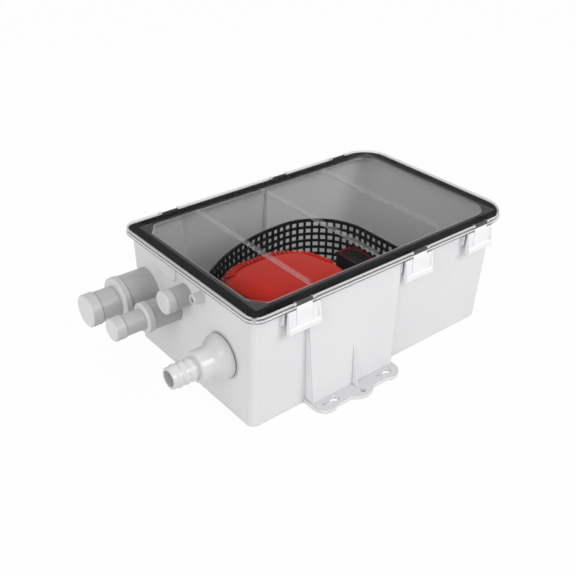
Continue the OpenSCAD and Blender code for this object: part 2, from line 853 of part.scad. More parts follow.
// Oval slab round the pump's middle: a straight stretch with a round end on each side
module oval(r, h) {
    translate([-cap_half, -r, 0]) cube([2 * cap_half, 2 * r, h]);
    for (side = [0, 1])
        mirror([side, 0, 0])
            translate([cap_half, 0, 0])
                rotate([0, 0, -90])
                    rotate_extrude(angle = 180) square([r, h]);
}

base_ear_x = housing_r + cap_half + base_boss_r;

module base_slots(side) {
    for (k = [-3 : 3])
        translate([side * cap_half, 0, 2 * wall])
            rotate([0, 0, (side > 0 ? 0 : 180) + k * 22])
                translate([housing_r - 3 * wall, -slot_w / 2, 0]) cube([5 * wall, slot_w, slot_h]);
}

// Repeats a piece at the pump's four screws
module at_screws() {
    for (side = [-1, 1])
        for (k = [-1, 1])
            translate([side * screw_dx, k * screw_dy, 0]) children();
}

// Slotted stand under the pump, with two screw ears and a tongue that carries the float switch
module pump_base() color("dimgray") in_tub() translate([pump_x, pump_y, 0]) {
    ear_at = wall + base_boss_h;
    tongue_y = switch_y - switch_l - switch_rim - pump_y;
    difference() {
        union() {
            translate([0, 0, wall]) oval(housing_r, base_top - wall);
            for (side = [-1, 1])
                translate([side * base_ear_x, 0, ear_at]) cylinder(r = base_ear_r, h = base_ear_t);
            translate([-base_ear_x, -base_ear_r, ear_at]) cube([2 * base_ear_x, 2 * base_ear_r, base_ear_t]);
            translate([housing_r, tongue_y, wall])
                cube([switch_x + switch_w - pump_x - housing_r, switch_l + 2 * switch_rim, switch_plate_t]);
        }
        translate([0, 0, wall - over]) oval(housing_r - wall, base_top - 2 * wall + over);
        translate([0, 0, base_top - 2 * wall]) cylinder(r = eye_r, h = 3 * wall);
        for (side = [-1, 1]) {
            base_slots(side);
            translate([side * base_ear_x, 0, 0]) cylinder(r = screw_r + 2 * gap, h = base_top);
        }
        translate([base_ear_x, 0, 0]) cylinder(r = base_boss_r + gap, h = ear_at);
        translate([0, 0, base_top - 3 * wall]) at_screws() cylinder(r = screw_r, h = 4 * wall);
        for (y = switch_screw_y)
            translate([switch_screw_x - pump_x, y - pump_y, 0])
                cylinder(r = switch_screw_r, h = base_top);
    }
    translate([0, 0, base_top - post_h])
        at_screws()
            difference() {
                cylinder(r = screw_head_r, h = post_h - wall);
                translate([0, 0, base_top - post_h - 1.5 * screw_l]) cylinder(r = screw_r, h = post_h);
            }
}

// Pan-head screw with a cross recess, pointing down, its head's seat at z = 0
module screw(len, r = screw_r, head_r = screw_head_r) {
    slope = 0.8 * r;
    difference() {
        union() {
            translate([0, 0, -len]) cylinder(r1 = r / 2, r2 = r - fit, h = slope);
            translate([0, 0, slope - len]) cylinder(r = r - fit, h = len - slope);
            cylinder(r = head_r, h = screw_head_h / 2);
            translate([0, 0, screw_head_h / 2])
                cylinder(r1 = head_r, r2 = 0.7 * head_r, h = screw_head_h / 2);
        }
        for (turn = [0, 90])
            rotate([0, 0, turn])
                translate([-0.6 * head_r, -screw_slot_w / 2, screw_head_h / 2])
                    cube([1.2 * head_r, screw_slot_w, screw_head_h]);
    }
}

module base_screws() color("silver") in_tub() {
    for (side = [-1, 1])
        translate([pump_x + side * base_ear_x, pump_y, wall + base_boss_h + base_ear_t])
            screw(base_ear_t + base_boss_h + wall / 5);
}

// Volute: round chamber, two oval flanges and an outlet barb that leaves at a tangent
module volute() color("dimgray") in_tub() translate([pump_x, pump_y, 0]) {
    out_y = port_y[4] - pump_y;
    height = volute_top - base_top;
    difference() {
        union() {
            translate([0, 0, base_top]) {
                oval(housing_r, pump_flange_t);
                cylinder(r = volute_r, h = height);
            }
            translate([0, 0, volute_top - pump_flange_t]) oval(housing_r, pump_flange_t);
            translate([0, out_y, port_z[4]]) rod_x(-outlet_end, 0, outlet_r - 2 * fit);
            translate([outlet_ridge / 3 - outlet_end, out_y, port_z[4]])
                rotate([0, 90, 0]) cylinder(r1 = outlet_r - gap, r2 = outlet_r + gap, h = outlet_ridge);
        }
        translate([0, 0, base_top + chamber_wall]) cylinder(r = volute_r - chamber_wall, h = height);
        translate([0, 0, base_top - over]) cylinder(r = eye_r, h = 3 * chamber_wall);
        translate([0, out_y, port_z[4]]) rod_x(-outlet_end - over, 0, outlet_bore_r);
        translate([0, 0, base_top - over]) at_screws() cylinder(r = screw_r + gap, h = height + 2 * over);
    }
}

// Lower screws hold the volute to the stand, and upper ones hold the housing to the volute
module pump_screws() color("silver") in_tub() translate([pump_x, pump_y, 0]) {
    translate([0, 0, base_top + pump_flange_t]) at_screws() screw(screw_l);
    translate([0, 0, volute_top - pump_flange_t]) at_screws() mirror([0, 0, 1]) screw(screw_l);
}

impeller_z = base_top + chamber_wall + impeller_gap;
can_z = volute_top + shelf_h;
can_top = wall + pump_h - 2.4 * cap_wall;
can_h = can_top - can_z;

// Open impeller: a disc over curved vanes round a hub
module impeller() color("dimgray") in_tub() translate([pump_x, pump_y, impeller_z]) {
    vane_r = 0.62 * impeller_r;
    difference() {
        union() {
            translate([0, 0, vane_h]) cylinder(r = impeller_r, h = disc_t);
            cylinder(r = hub_r, h = vane_h);
            intersection() {
                cylinder(r = impeller_r, h = vane_h);
                for (k = [0 : blades - 1])
                    rotate([0, 0, k * 360 / blades])
                        translate([vane_r, 0, 0])
                            rotate([0, 0, 95])
                                rotate_extrude(angle = 80)
                                    translate([vane_r - vane_t / 2, 0]) square([vane_t, vane_h]);
            }
        }
        translate([0, 0, -over]) cylinder(r = shaft_r + fit, h = vane_h + disc_t + 2 * over);
    }
}

module motor_shaft() color("silver") in_tub()
    translate([pump_x, pump_y, impeller_z + disc_t / 2])
        cylinder(r = shaft_r, h = can_top - impeller_z - disc_t);

module shaft_seal() color("black") in_tub()
    translate([pump_x, pump_y, volute_top])
        difference() {
            cylinder(r = seal_r, h = seal_h);
            translate([0, 0, -over]) cylinder(r = shaft_r + fit, h = seal_h + 2 * over);
        }

// Housing of the motor: an oval cup with the seal's pocket and four screw bosses
module motor_housing() color("dimgray") in_tub() translate([pump_x, pump_y, volute_top]) {
    height = housing_top - volute_top;
    difference() {
        union() {
            difference() {
                oval(housing_r, height);
                translate([0, 0, wall]) oval(housing_r - wall, height);
            }
            cylinder(r = can_r + can_skin, h = shelf_h);
            at_screws() cylinder(r = screw_head_r, h = post_h);
        }
        translate([0, 0, -over]) cylinder(r = seal_r + fit, h = seal_h + over + fit);
        cylinder(r = shaft_r + gap, h = height);
        translate([0, 0, -over]) at_screws() cylinder(r = screw_r, h = screw_l);
    }
}

module motor_can() color("silver") in_tub() translate([pump_x, pump_y, can_z]) {
    difference() {
        cylinder(r = can_r, h = can_h);
        translate([0, 0, can_skin]) cylinder(r = can_r - can_skin, h = can_h - 2 * can_skin);
        translate([0, 0, -over]) cylinder(r = bush_r + fit, h = can_h + 2 * over);
    }
}

// Two arc magnets inside the can
module motor_magnets() color("darkgray") in_tub() translate([pump_x, pump_y, can_z + bush_h]) {
    for (turn = [20, 200])
        rotate([0, 0, turn])
            rotate_extrude(angle = 140)
                translate([can_r - can_skin - fit - magnet_t, 0]) square([magnet_t, can_h - 2 * bush_h]);
}

// Slotted armature on the shaft
module armature() color("peru") in_tub() translate([pump_x, pump_y, can_z + bush_h + over]) {
    arm_r = can_r - can_skin - magnet_t - air_gap;
    arm_h = can_h - 2 * bush_h - 2 * over;
    difference() {
        cylinder(r = arm_r, h = arm_h);
        translate([0, 0, -over]) cylinder(r = shaft_r + fit, h = arm_h + 2 * over);
        for (k = [0 : 4])
            rotate([0, 0, k * 72])
                translate([0.6 * arm_r, -armature_slot / 2, -over])
                    cube([arm_r, armature_slot, arm_h + 2 * over]);
    }
}

module bush(z) {
    translate([pump_x, pump_y, z])
        difference() {
            cylinder(r = bush_r, h = bush_h);
            translate([0, 0, -over]) cylinder(r = shaft_r + fit, h = bush_h + 2 * over);
        }
}

module bearing_lower() color("goldenrod") in_tub() bush(can_z);

module bearing_upper() color("goldenrod") in_tub() bush(can_top - bush_h);

// Red cap: upright rim, ribbed slope and a flat top that sits a little towards the front
module pump_cap() color("firebrick") in_tub() translate([pump_x, pump_y, 0]) {
    top_z = wall + pump_h;
    top_r = cap_r - cap_slope;
    rim_h = cap_rim_z - cap_z;
    difference() {
        union() {
            translate([0, 0, cap_z]) oval(cap_r, rim_h);
            cap_dome(cap_r - gap, top_r, cap_rim_z, top_z);
            for (k = [0 : cap_ribs - 1]) cap_rib(12 + 156 * k / (cap_ribs - 1), top_z);
        }
        translate([0, 0, cap_z - over]) oval(cap_r - cap_wall, rim_h + over - cap_wall);
        cap_dome(cap_r - cap_wall, top_r - cap_wall, cap_rim_z - 1.02 * cap_wall, top_z - cap_wall);
    }
}

// Sloping shell from an oval at z0 to a smaller one at z1, shifted towards the front
module cap_dome(r0, r1, z0, z1) {
    hull() {
        for (side = [-1, 1]) {
            translate([side * cap_half, 0, z0]) cylinder(r = r0, h = gap, $fn = 48);
            translate([side * cap_half, -cap_shift, z1 - gap - cap_lip])
                cylinder(r = r1, h = cap_lip, $fn = 48);
            translate([side * cap_half, -cap_shift, z1 - gap]) cylinder(r = r1 - cap_lip, h = gap, $fn = 48);
        }
    }
}

// One grip rib on the rear slope, standing along the direction of its angle
module cap_rib(a, top_z) {
    side = a < 90 ? cap_half : -cap_half;
    slope_r = cap_slope + cap_shift * sin(a);
    rise = top_z - cap_rim_z;
    translate([side, 0, cap_rim_z - cap_lip])
        rotate([0, 0, a])
            translate([cap_r - cap_lip, -rib_t / 2, 0])
                rotate([0, -atan2(slope_r, rise), 0])
                    cube([rib_t, rib_t, norm([slope_r, rise]) - rib_t / 3]);
}

// Soft ring between the cap and the housing
module cap_seal() color("black") in_tub() translate([pump_x, pump_y, cap_z + gap]) {
    difference() {
        oval(cap_r - cap_wall - fit, cap_seal_h);
        translate([0, 0, -over]) oval(housing_r + fit, cap_seal_h + 2 * over);
    }
}

switch_screw_x = switch_x + switch_w / 2;
switch_screw_y = [switch_y + switch_rim / 2, switch_y - switch_l - switch_rim / 2];
switch_z = wall + switch_plate_t;
float_pivot_y = switch_y - switch_l - float_pivot_in;

// Case of the float switch: a tower on a flanged foot, with two ears that hold the float's pin
module float_switch_case() color("black") in_tub() {
    translate([switch_x, switch_y - switch_l, switch_z])
        difference() {
            union() {
                cube([switch_w, switch_l, switch_h]);
                translate([0, -switch_rim, 0]) cube([switch_w, switch_l + 2 * switch_rim, switch_plate_t]);
            }
            translate([wall, wall, wall]) cube([switch_w - 2 * wall, switch_l - 2 * wall, switch_h]);
            for (y = switch_screw_y)
                translate([switch_w / 2, y - switch_y + switch_l, -over])
                    cylinder(r = switch_screw_r + fit, h = switch_plate_t + 2 * over);
        }
    for (side = [0, 1])
        translate([switch_x + side * (switch_w - float_ear_t), float_pivot_y, float_pivot_z])
            difference() {
                union() {
                    rotate([0, 90, 0]) cylinder(r = float_ear_r, h = float_ear_t);
                    translate([0, 0, -float_ear_r])
                        cube([float_ear_t, float_pivot_in + wall / 2, 2 * float_ear_r]);
                }
                translate([-over, 0, 0])
                    rotate([0, 90, 0]) cylinder(r = float_pin_r + fit, h = float_ear_t + 2 * over);
            }
}

// Lid of the switch's case, with a raised edge
module switch_cover() color("darkred") in_tub()
    translate([switch_x - cover_out, switch_y - switch_l - cover_out, switch_z + switch_h])
        difference() {
            cube([switch_w + 2 * cover_out, switch_l + 2 * cover_out, cover_t]);
            translate([2 * cover_out, 2 * cover_out, cover_t / 2])
                cube([switch_w - 2 * cover_out, switch_l - 2 * cover_out, cover_t]);
        }

module switch_screws() color("silver") in_tub() {
    for (y = switch_screw_y)
        translate([switch_screw_x, y, switch_z + switch_plate_t])
            screw(switch_screw_l, switch_screw_r, 1.6 * switch_screw_r);
}

module float_pin() color("silver") in_tub()
    translate([switch_x + float_ear_t / 12, float_pivot_y, float_pivot_z])
        rotate([0, 90, 0]) cylinder(r = float_pin_r, h = switch_w - float_ear_t / 6);

// Float with rounded edges, on a short arm that hangs from the pin
module float_lever() color("whitesmoke") in_tub() {
    arm_w = switch_w - 2 * float_ear_t - 3 * gap;
    block_w = 0.9 * switch_w;
    near = -float_arm_l;
    far = near - float_l;
    top = -float_drop;
    low = top - float_h;
    small_r = float_round / 2;
    translate([switch_x + switch_w / 2, float_pivot_y, float_pivot_z])
        difference() {
            union() {
                rotate([0, 90, 0]) cylinder(r = float_hub_r, h = arm_w, center = true);
                translate([-arm_w / 2, 0, 0])
                    rotate([90, 0, 90])
                        linear_extrude(arm_w)
                            polygon([[float_hub_r / 2, -0.85 * float_hub_r],
                                [-0.8 * float_hub_r, 0.6 * float_hub_r],
                                [near - float_round, top], [near - small_r / 2, top - float_round]]);
                translate([-block_w / 2, 0, 0])
                    rotate([90, 0, 90])
                        linear_extrude(block_w)
                            polygon(concat(
                                arc(far + float_round, low + float_round, float_round, 180, 270, 4),
                                arc(near - small_r, low + small_r, small_r, 270, 360, 3),
                                arc(near - small_r, top - small_r, small_r, 0, 90, 3),
                                arc(far + float_round, top - float_round, float_round, 90, 180, 4)));
            }
            rotate([0, 90, 0]) cylinder(r = float_pin_r + fit, h = switch_w, center = true);
        }
}

// Two-tier rim of the lid, with an eased upper edge
module lid_rim_profile() {
    low = -gasket_t - skirt_drop;
    polygon([[skirt_in, low], [lid_out - bead_ease, low], [lid_out, low + bead_ease],
        [lid_out, low + bead_h - bead_ease], [lid_out - bead_ease, low + bead_h], [tier_out, low + bead_h],
        [tier_out, lid_t - rim_ease], [tier_out - 0.3 * rim_ease, lid_t - 0.3 * rim_ease],
        [tier_out - rim_ease, lid_t], [-wall, lid_t], [-wall, 0], [skirt_in, 0]]);
}

// Locating lip inside the gasket, with cut corners at the port end
module lip_outline(inset) {
    half_l = box_l / 2 - gasket_in - inset;
    half_w = box_w / 2 - gasket_in - inset;
    cut_v = half_w - 1.3 * lip_cut;
    polygon(concat([[-half_l, cut_v], [-half_l, -cut_v], [lip_cut - half_l, -half_w]],
        arc(half_l - lip_r, lip_r - half_w, lip_r, 270, 360, 8),
        arc(half_l - lip_r, half_w - lip_r, lip_r, 0, 90, 8),
        [[lip_cut - half_l, half_w]]));
}

module for_latches() {
    for (side = [0, 1])
        mirror([0, side, 0])
            for (x = latch_x) translate([x, 0, 0]) children();
}

// Clear lid: plate, two-tier skirt, locating lip, cross ribs and six hinge notches with their bars
module lid() color("lightsteelblue") in_tub() {
    lug_v = box_w / 2 + skirt_in - gap;
    notch_v = box_w / 2 - bead_t;
    difference() {
        union() {
            translate([0, 0, plate_z]) {
                round_block(box_l, box_w, port_r, far_r, lid_t);
                rim_sweep(box_l, box_w, port_r, far_r) lid_rim_profile();
                translate([0, 0, -lip_d])
                    linear_extrude(lip_d + lid_t / 2)
                        difference() {
                            lip_outline(0);
                            lip_outline(lip_t);
                        }
            }
            for (x = rib_x)
                translate([x - rib_w / 2, gasket_in - box_w / 2 + lip_t / 2, plate_z - rib_d])
                    cube([rib_w, box_w - 2 * gasket_in - lip_t, rib_d + lid_t / 2]);
            for_latches()
                for (side = [0, 1])
                    mirror([side, 0, 0])
                        translate([notch_w / 2, lug_v, box_h + gap])
                            cube([lug_w, box_w / 2 + lid_out - lug_v, lid_top - box_h - gap]);
        }
        for_latches() {
            translate([-notch_w / 2, notch_v, box_h - skirt_drop - over])
                cube([notch_w, lid_out + over, lid_top]);
            translate([0, hinge_v, hinge_z])
                rotate([0, 90, 0])
                    cylinder(r = stub_r + stub_gap, h = notch_w + 2 * stub_l, center = true);
        }
    }
    for_latches()
        translate([-notch_w / 2 - over, notch_v, lid_top - 1.1 * bar_t])
            cube([notch_w + 2 * over, bar_w, bar_t]);
}

module lid_gasket() color("black") in_tub() {
    translate([0, 0, box_h])
        difference() {
            round_block(box_l + 2 * gasket_out, box_w + 2 * gasket_out,
                port_r + gasket_out, far_r + gasket_out, gasket_t);
            translate([0, 0, -over]) linear_extrude(gasket_t + 2 * over) lip_outline(-fit);
        }
}

// Latch on the -Y side, drawn round its hinge line: stubs, plate, arms, finger bar and snap hook
module latch() {
    top = box_h - skirt_drop - 0.4 * latch_t - hinge_z;
    face = latch_v + latch_t;
    raised = face + 0.5 * latch_t;
    low = -latch_drop;
    bar_v = latch_v + finger_d;
    bar_top = low + finger_h;
    edge = 0.15 * finger_h;
    hook_z = catch_z - gap - hinge_z;
    hook_v = side_v(catch_z) + catch_out + gap - hinge_v;
    rotate([0, 90, 0]) cylinder(r = stub_r, h = tab_w + 2 * (stub_l - gap), center = true);
    rotate([0, 90, 0]) cylinder(r = knuckle_r, h = tab_w, center = true);
    latch_slab(tab_w, [[latch_v, top - latch_t], [face, top - latch_t], [face, -knuckle_r / 3],
        [0.6 * knuckle_r, 0], [latch_v, -knuckle_r / 2]]);
    latch_slab(latch_w, [[latch_v, low], [face, low], [face, top], [latch_v, top]]);
    latch_slab(tab_w, [[latch_v, low], [raised, low], [raised, top - latch_t / 2],
        [0.98 * face, top + 1.6 * latch_t], [latch_v, top]]);
    for (side = [0, 1])
        mirror([side, 0, 0])
            translate([(latch_w - arm_t) / 2, 0, 0])
                latch_slab(arm_t, [[latch_v, low], [bar_v, low], [0.85 * bar_v, bar_top + finger_h / 2],
                    [face, top], [latch_v, top]]);
    latch_slab(latch_w, [[latch_v, low], [bar_v - edge, low], [bar_v, low + edge],
        [bar_v, bar_top - edge], [bar_v - edge, bar_top], [latch_v, bar_top]]);
    latch_slab(hook_w, [[latch_v + fit, hook_z - 2.4 * catch_out], [latch_v + fit, hook_z],
        [hook_v + gap, hook_z], [hook_v, hook_z - gap], [hook_v, hook_z - catch_out]]);
}

// Slab of a latch: a profile of outward distance and height, as wide as given
module latch_slab(width, points) {
    translate([-width / 2, 0, 0])
        rotate([90, 0, 90])
            linear_extrude(width)
                polygon([for (p = points) [-p[0], p[1]]]);
}

module placed_latch(x, side) {
    in_tub()
        mirror([0, side, 0])
            translate([x, -hinge_v, hinge_z]) latch();
}

module latch_front_port() color("white") placed_latch(latch_x[0], 0);
module latch_front_middle() color("white") placed_latch(latch_x[1], 0);
module latch_front_far() color("white") placed_latch(latch_x[2], 0);
module latch_back_port() color("white") placed_latch(latch_x[0], 1);
module latch_back_middle() color("white") placed_latch(latch_x[1], 1);
module latch_back_far() color("white") placed_latch(latch_x[2], 1);

sump_box();
inlet_port_large();
inlet_port_medium();
inlet_port_small();
cable_nozzle();
cable_grommet();
discharge_fitting();
discharge_seal();
discharge_nut();
check_flap();
flap_pin();
discharge_hose();
hose_clamp_wall();
hose_clamp_pump();
strainer_screen();
pump_base();
base_screws();
volute();
pump_screws();
impeller();
motor_shaft();
shaft_seal();
motor_housing();
motor_can();
motor_magnets();
armature();
bearing_lower();
bearing_upper();
pump_cap();
cap_seal();
float_switch_case();
switch_cover();
switch_screws();
float_pin();
float_lever();
lid();
lid_gasket();
latch_front_port();
latch_front_middle();
latch_front_far();
latch_back_port();
latch_back_middle();
latch_back_far();
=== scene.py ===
"""Looks for the shower sump pump: a finish for every part, a fine fence, a fitting and a finned cap."""

import logging
import math
from dataclasses import dataclass
from enum import Enum
from functools import partial, reduce
from typing import Any, Callable, Sequence

import bmesh
import bpy
from mathutils import Matrix, Vector


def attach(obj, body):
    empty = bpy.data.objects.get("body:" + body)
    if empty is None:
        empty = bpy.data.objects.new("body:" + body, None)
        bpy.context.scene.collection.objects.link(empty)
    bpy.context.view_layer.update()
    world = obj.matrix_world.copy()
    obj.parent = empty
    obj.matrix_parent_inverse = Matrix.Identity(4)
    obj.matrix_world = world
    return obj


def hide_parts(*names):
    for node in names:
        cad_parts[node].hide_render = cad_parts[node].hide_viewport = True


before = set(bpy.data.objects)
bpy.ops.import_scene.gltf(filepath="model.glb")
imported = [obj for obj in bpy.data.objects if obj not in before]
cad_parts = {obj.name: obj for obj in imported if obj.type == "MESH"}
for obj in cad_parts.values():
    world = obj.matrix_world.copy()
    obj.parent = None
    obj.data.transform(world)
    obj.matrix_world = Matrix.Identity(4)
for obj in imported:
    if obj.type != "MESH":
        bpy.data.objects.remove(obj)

LOG = logging.getLogger("sump")
Colour = tuple[float, float, float]
Pair = tuple[float, float]
Curve = Callable[[float], Vector]

MM = 0.001
WHITE: Colour = (1.0, 1.0, 1.0)
PLASTIC_IOR = 1.49
# Blobs of the moulds' spark grain per metre.
SPARK_GRAIN = 2600
# Middle of the tub along X, in millimetres.
MIDDLE_X = 44.0
# Edges that turn by more degrees than this stay sharp.
SMOOTH_ANGLE = 35


def srgb(red: int, green: int, blue: int) -> Colour:
    """Turns a colour as it is seen, from 0 to 255, into the linear one that a shader takes.

    Args:
        red: Red share.
        green: Green share.
        blue: Blue share.

    Returns:
        The linear colour.
    """
    return tuple(
        (c / 255 / 12.92) if c < 11 else ((c / 255 + 0.055) / 1.055) ** 2.4
        for c in (red, green, blue)
    )


def add_node(
    tree: bpy.types.NodeTree,
    kind: str,
    settings: dict[str, Any] | None = None,
    sockets: dict[Any, Any] | None = None,
) -> bpy.types.Node:
    """Adds a node to a tree, sets it up and then fills its sockets.

    Args:
        tree: The tree.
        kind: The node's type.
        settings: Its properties.
        sockets: Values or links of its inputs, by name or number.

    Returns:
        The new node.
    """
    node = tree.nodes.new(kind)
    for key, value in (settings or {}).items():
        setattr(node, key, value)
    for key, value in (sockets or {}).items():
        socket = node.inputs[key]
        if isinstance(value, Value):
            value = value.socket
        if isinstance(value, bpy.types.NodeSocket):
            tree.links.new(value, socket)
        elif isinstance(value, tuple) and socket.type == "RGBA":
            socket.default_value = (*value, 1)
        else:
            socket.default_value = value
    return node


class Value:
    """A number in a material. Sums written with it add the Math nodes they need."""

    def __init__(self, shader: "Shader", socket: bpy.types.NodeSocket) -> None:
        """Keeps the socket and the shader it belongs to."""
        self.shader = shader
        self.socket = socket

    def __add__(self, other: Any) -> "Value":
        """Adds."""
        return self.shader.sum("ADD", self, other)

    def __radd__(self, other: Any) -> "Value":
        """Adds, with the plain number first."""
        return self.shader.sum("ADD", other, self)

    def __sub__(self, other: Any) -> "Value":
        """Takes away."""
        return self.shader.sum("SUBTRACT", self, other)

    def __rsub__(self, other: Any) -> "Value":
        """Takes this away from a plain number."""
        return self.shader.sum("SUBTRACT", other, self)

    def __mul__(self, other: Any) -> "Value":
        """Multiplies."""
        return self.shader.sum("MULTIPLY", self, other)

    def __rmul__(self, other: Any) -> "Value":
        """Multiplies, with the plain number first."""
        return self.shader.sum("MULTIPLY", other, self)

    def __pow__(self, other: Any) -> "Value":
        """Raises to a power."""
        return self.shader.sum("POWER", self, other)

    def __gt__(self, other: Any) -> "Value":
        """Gives 1 where this is greater and 0 elsewhere."""
        return self.shader.sum("GREATER_THAN", self, other)

    def within(self, low: float, high: float) -> "Value":
        """Mask of a band of places.

        Args:
            low: Where it starts, in millimetres.
            high: Where it ends.

        Returns:
            1 within the band and 0 elsewhere.
        """
        return (self > low * MM) - (self > high * MM)


class Shader:
    """A node tree of one material, with short ways to add its usual nodes."""

    def __init__(self, name: str) -> None:
        """Starts an empty material.

        Args:
            name: Its name.
        """
        self.material = bpy.data.materials.new(name)
        self.material.use_nodes = True
        self.tree = self.material.node_tree
        self.tree.nodes.clear()
        self.add: Callable[..., bpy.types.Node] = partial(add_node, self.tree)
        self.out = self.add("ShaderNodeOutputMaterial")
        self.place = self.add("ShaderNodeTexCoord").outputs["Object"]

    def sum(self, operation: str, first: Any, second: Any) -> Value:
        """Works out one sum.

        Args:
            operation: Name of the Math node's operation.
            first: Its first value.
            second: Its second value.

        Returns:
            The result.
        """
        node = self.add("ShaderNodeMath", {"operation": operation}, {0: first, 1: second})
        return Value(self, node.outputs[0])

    def most(self, *values: Any) -> Value:
        """Greatest of some values.

        Args:
            values: The values, two or more.

        Returns:
            The greatest one.
        """
        return reduce(lambda first, second: self.sum("MAXIMUM", first, second), values)

    def split(self, vector: bpy.types.NodeSocket) -> dict[str, Value]:
        """Takes a vector apart.

        Args:
            vector: The vector.

        Returns:
            Its three numbers, by the letter of the axis.
        """
        node = self.add("ShaderNodeSeparateXYZ", None, {0: vector})
        return {axis: Value(self, node.outputs[axis]) for axis in "XYZ"}

    def facing(self) -> dict[str, Value]:
        """Direction in which the true surface looks, by the letter of the axis."""
        return self.split(self.add("ShaderNodeNewGeometry").outputs["Normal"])

    def outside(self, half_x: float, half_y: float) -> Value:
        """Mask of all that lies outside an upright box round the tub's middle.

        Args:
            half_x: Half of the box's length, in millimetres.
            half_y: Half of its width.

        Returns:
            1 outside the box and 0 inside.
        """
        place = self.split(self.place)
        off_x, off_y = place["X"] - MIDDLE_X * MM, place["Y"]
        return self.most(off_x * off_x > (half_x * MM) ** 2, off_y * off_y > (half_y * MM) ** 2)

    def noise(self, scale: float, detail: float, place: Any = None) -> Value:
        """Soft noise over the surface.

        Args:
            scale: Blobs per metre.
            detail: Octaves of finer noise.
            place: Coordinates, or none for the object's own.

        Returns:
            The noise, from 0 to 1.
        """
        node = self.add(
            "ShaderNodeTexNoise",
            {"noise_dimensions": "3D"},
            {"Vector": place or self.place, "Scale": scale, "Detail": detail},
        )
        return Value(self, node.outputs["Fac"])

    def stretched(self, scale: tuple[float, float, float]) -> bpy.types.NodeSocket:
        """Coordinates scaled by a different amount along each axis.

        Args:
            scale: Amounts along X, Y and Z.

        Returns:
            The coordinates.
        """
        node = self.add("ShaderNodeMapping", None, {"Vector": self.place, "Scale": scale})
        return node.outputs["Vector"]

    def mix(self, share: Any, first: Any, second: Any) -> bpy.types.NodeSocket:
        """Mixes two colours.

        Args:
            share: Share of the second.
            first: Colour at share 0.
            second: Colour at share 1.

        Returns:
            The mixed colour.
        """
        node = self.add("ShaderNodeMix", {"data_type": "RGBA"}, {0: share, 6: first, 7: second})
        return node.outputs[2]

    def ramp(self, share: Any, low: float, high: float) -> Value:
        """Spreads a value between two limits over 0 to 1.

        Args:
            share: The value.
            low: Where the result is 0.
            high: Where it is 1.

        Returns:
            The spread value.
        """
        node = self.add("ShaderNodeMapRange", None, {0: share, 1: low, 2: high})
        return Value(self, node.outputs[0])

    def relief(self, height: Any, depth: float, edge: float) -> bpy.types.NodeSocket:
        """Normal of a surface with a fine relief and softened edges.

        Args:
            height: Height of the relief, from 0 to 1.
            depth: Depth of the relief, in millimetres.
            edge: Radius of the softened edges.

        Returns:
            The normal.
        """
        soft = self.add("ShaderNodeBevel", {"samples": 6}, {"Radius": edge * MM}).outputs["Normal"]
        sockets = {"Height": height, "Distance": depth * MM, "Strength": 1.0, "Normal": soft}
        return self.add("ShaderNodeBump", None, sockets).outputs["Normal"]

    def edge_shade(self, radius: float) -> Value:
        """Mask of the edges, where shade is painted: where the softened normal leaves the true one.

        Args:
            radius: Radius of the softened edges, in millimetres.

        Returns:
            1 at an edge and 0 on a plain face.
        """
        soft = self.add("ShaderNodeBevel", {"samples": 8}, {"Radius": radius * MM})
        true = self.add("ShaderNodeNewGeometry")
        dot = self.add(
            "ShaderNodeVectorMath",
            {"operation": "DOT_PRODUCT"},
            {0: soft.outputs["Normal"], 1: true.outputs["Normal"]},
        )
        return self.ramp(1 - Value(self, dot.outputs["Value"]), low=0.01, high=0.12)

    def surface(self, sockets: dict[Any, Any]) -> bpy.types.Material:
        """Ends the material in one Principled shader.

        Args:
            sockets: Values or links of its inputs.

        Returns:
            The material.
        """
        shader = self.add("ShaderNodeBsdfPrincipled", None, sockets)
        self.tree.links.new(shader.outputs[0], self.out.inputs["Surface"])
        return self.material


@dataclass(frozen=True)
class MouldedPlastic:
    """Injection-moulded plastic: faint flow mottling, fine spark grain and softened edges.

    With an edge share above 0, as on the tub, painted shade darkens the outer edges and the tops of the
    feet.
    """

    name: str
    colour: Colour
    shade: Colour
    roughness: float = 0.42
    grain: float = 0.012
    edge: float = 0.45
    coat: float = 0.0
    coat_rough: float = 0.12
    gloss: float = 0.5
    # Painted shade: its share and colour on the outer edges, then its colour on the feet's tops.
    edge_shade: float = 0.0
    edge_shade_colour: Colour = (0.25, 0.25, 0.26)
    outer_x: float = 98.0
    outer_y: float = 86.0
    foot_shade_colour: Colour = (0.62, 0.62, 0.63)
    foot_top: float = 12.0
    level: float = 0.9

    def make(self) -> bpy.types.Material:
        """Builds the material.

        Returns:
            The material.
        """
        s = Shader(self.name)
        flow = s.noise(14, detail=3)
        cloud = s.noise(70, detail=4)
        grain = s.noise(SPARK_GRAIN, detail=2)
        share = s.ramp(flow * 0.7 + cloud * 0.3, low=0.3, high=0.75)
        colour = s.mix(share, self.colour, self.shade)
        # Painted shade on the tub's outer edges and on its feet's tops.
        if self.edge_shade:
            colour = self.paint_shade(s, colour)
        return s.surface(
            {
                "Base Color": colour,
                "Roughness": self.roughness + 0.1 * (cloud - 0.5) + 0.06 * (grain - 0.5),
                "Normal": s.relief(grain, depth=self.grain, edge=self.edge),
                "Coat Weight": self.coat,
                "Coat Roughness": self.coat_rough,
                "IOR": PLASTIC_IOR,
                "Specular IOR Level": self.gloss,
            }
        )

    def paint_shade(self, s: Shader, colour: Any) -> bpy.types.NodeSocket:
        """Paints shade on the tops of the feet and on the edges of the front and port sides.

        Args:
            s: The material's nodes.
            colour: Its colour so far.

        Returns:
            The new colour.
        """
        place = s.split(s.place)
        # Painted shade on up-facing faces below foot_top: the tops of the feet.
        foot_shade = (1 - (place["Z"] > self.foot_top * MM)) * (s.facing()["Z"] > self.level)
        colour = s.mix(foot_shade, colour, self.foot_shade_colour)
        # Painted shade along the edges of the front and port sides.
        outer = s.most(place["X"] * -1 > self.outer_x * MM, place["Y"] * -1 > self.outer_y * MM)
        return s.mix(s.edge_shade(self.edge) * outer * self.edge_shade, colour, self.edge_shade_colour)


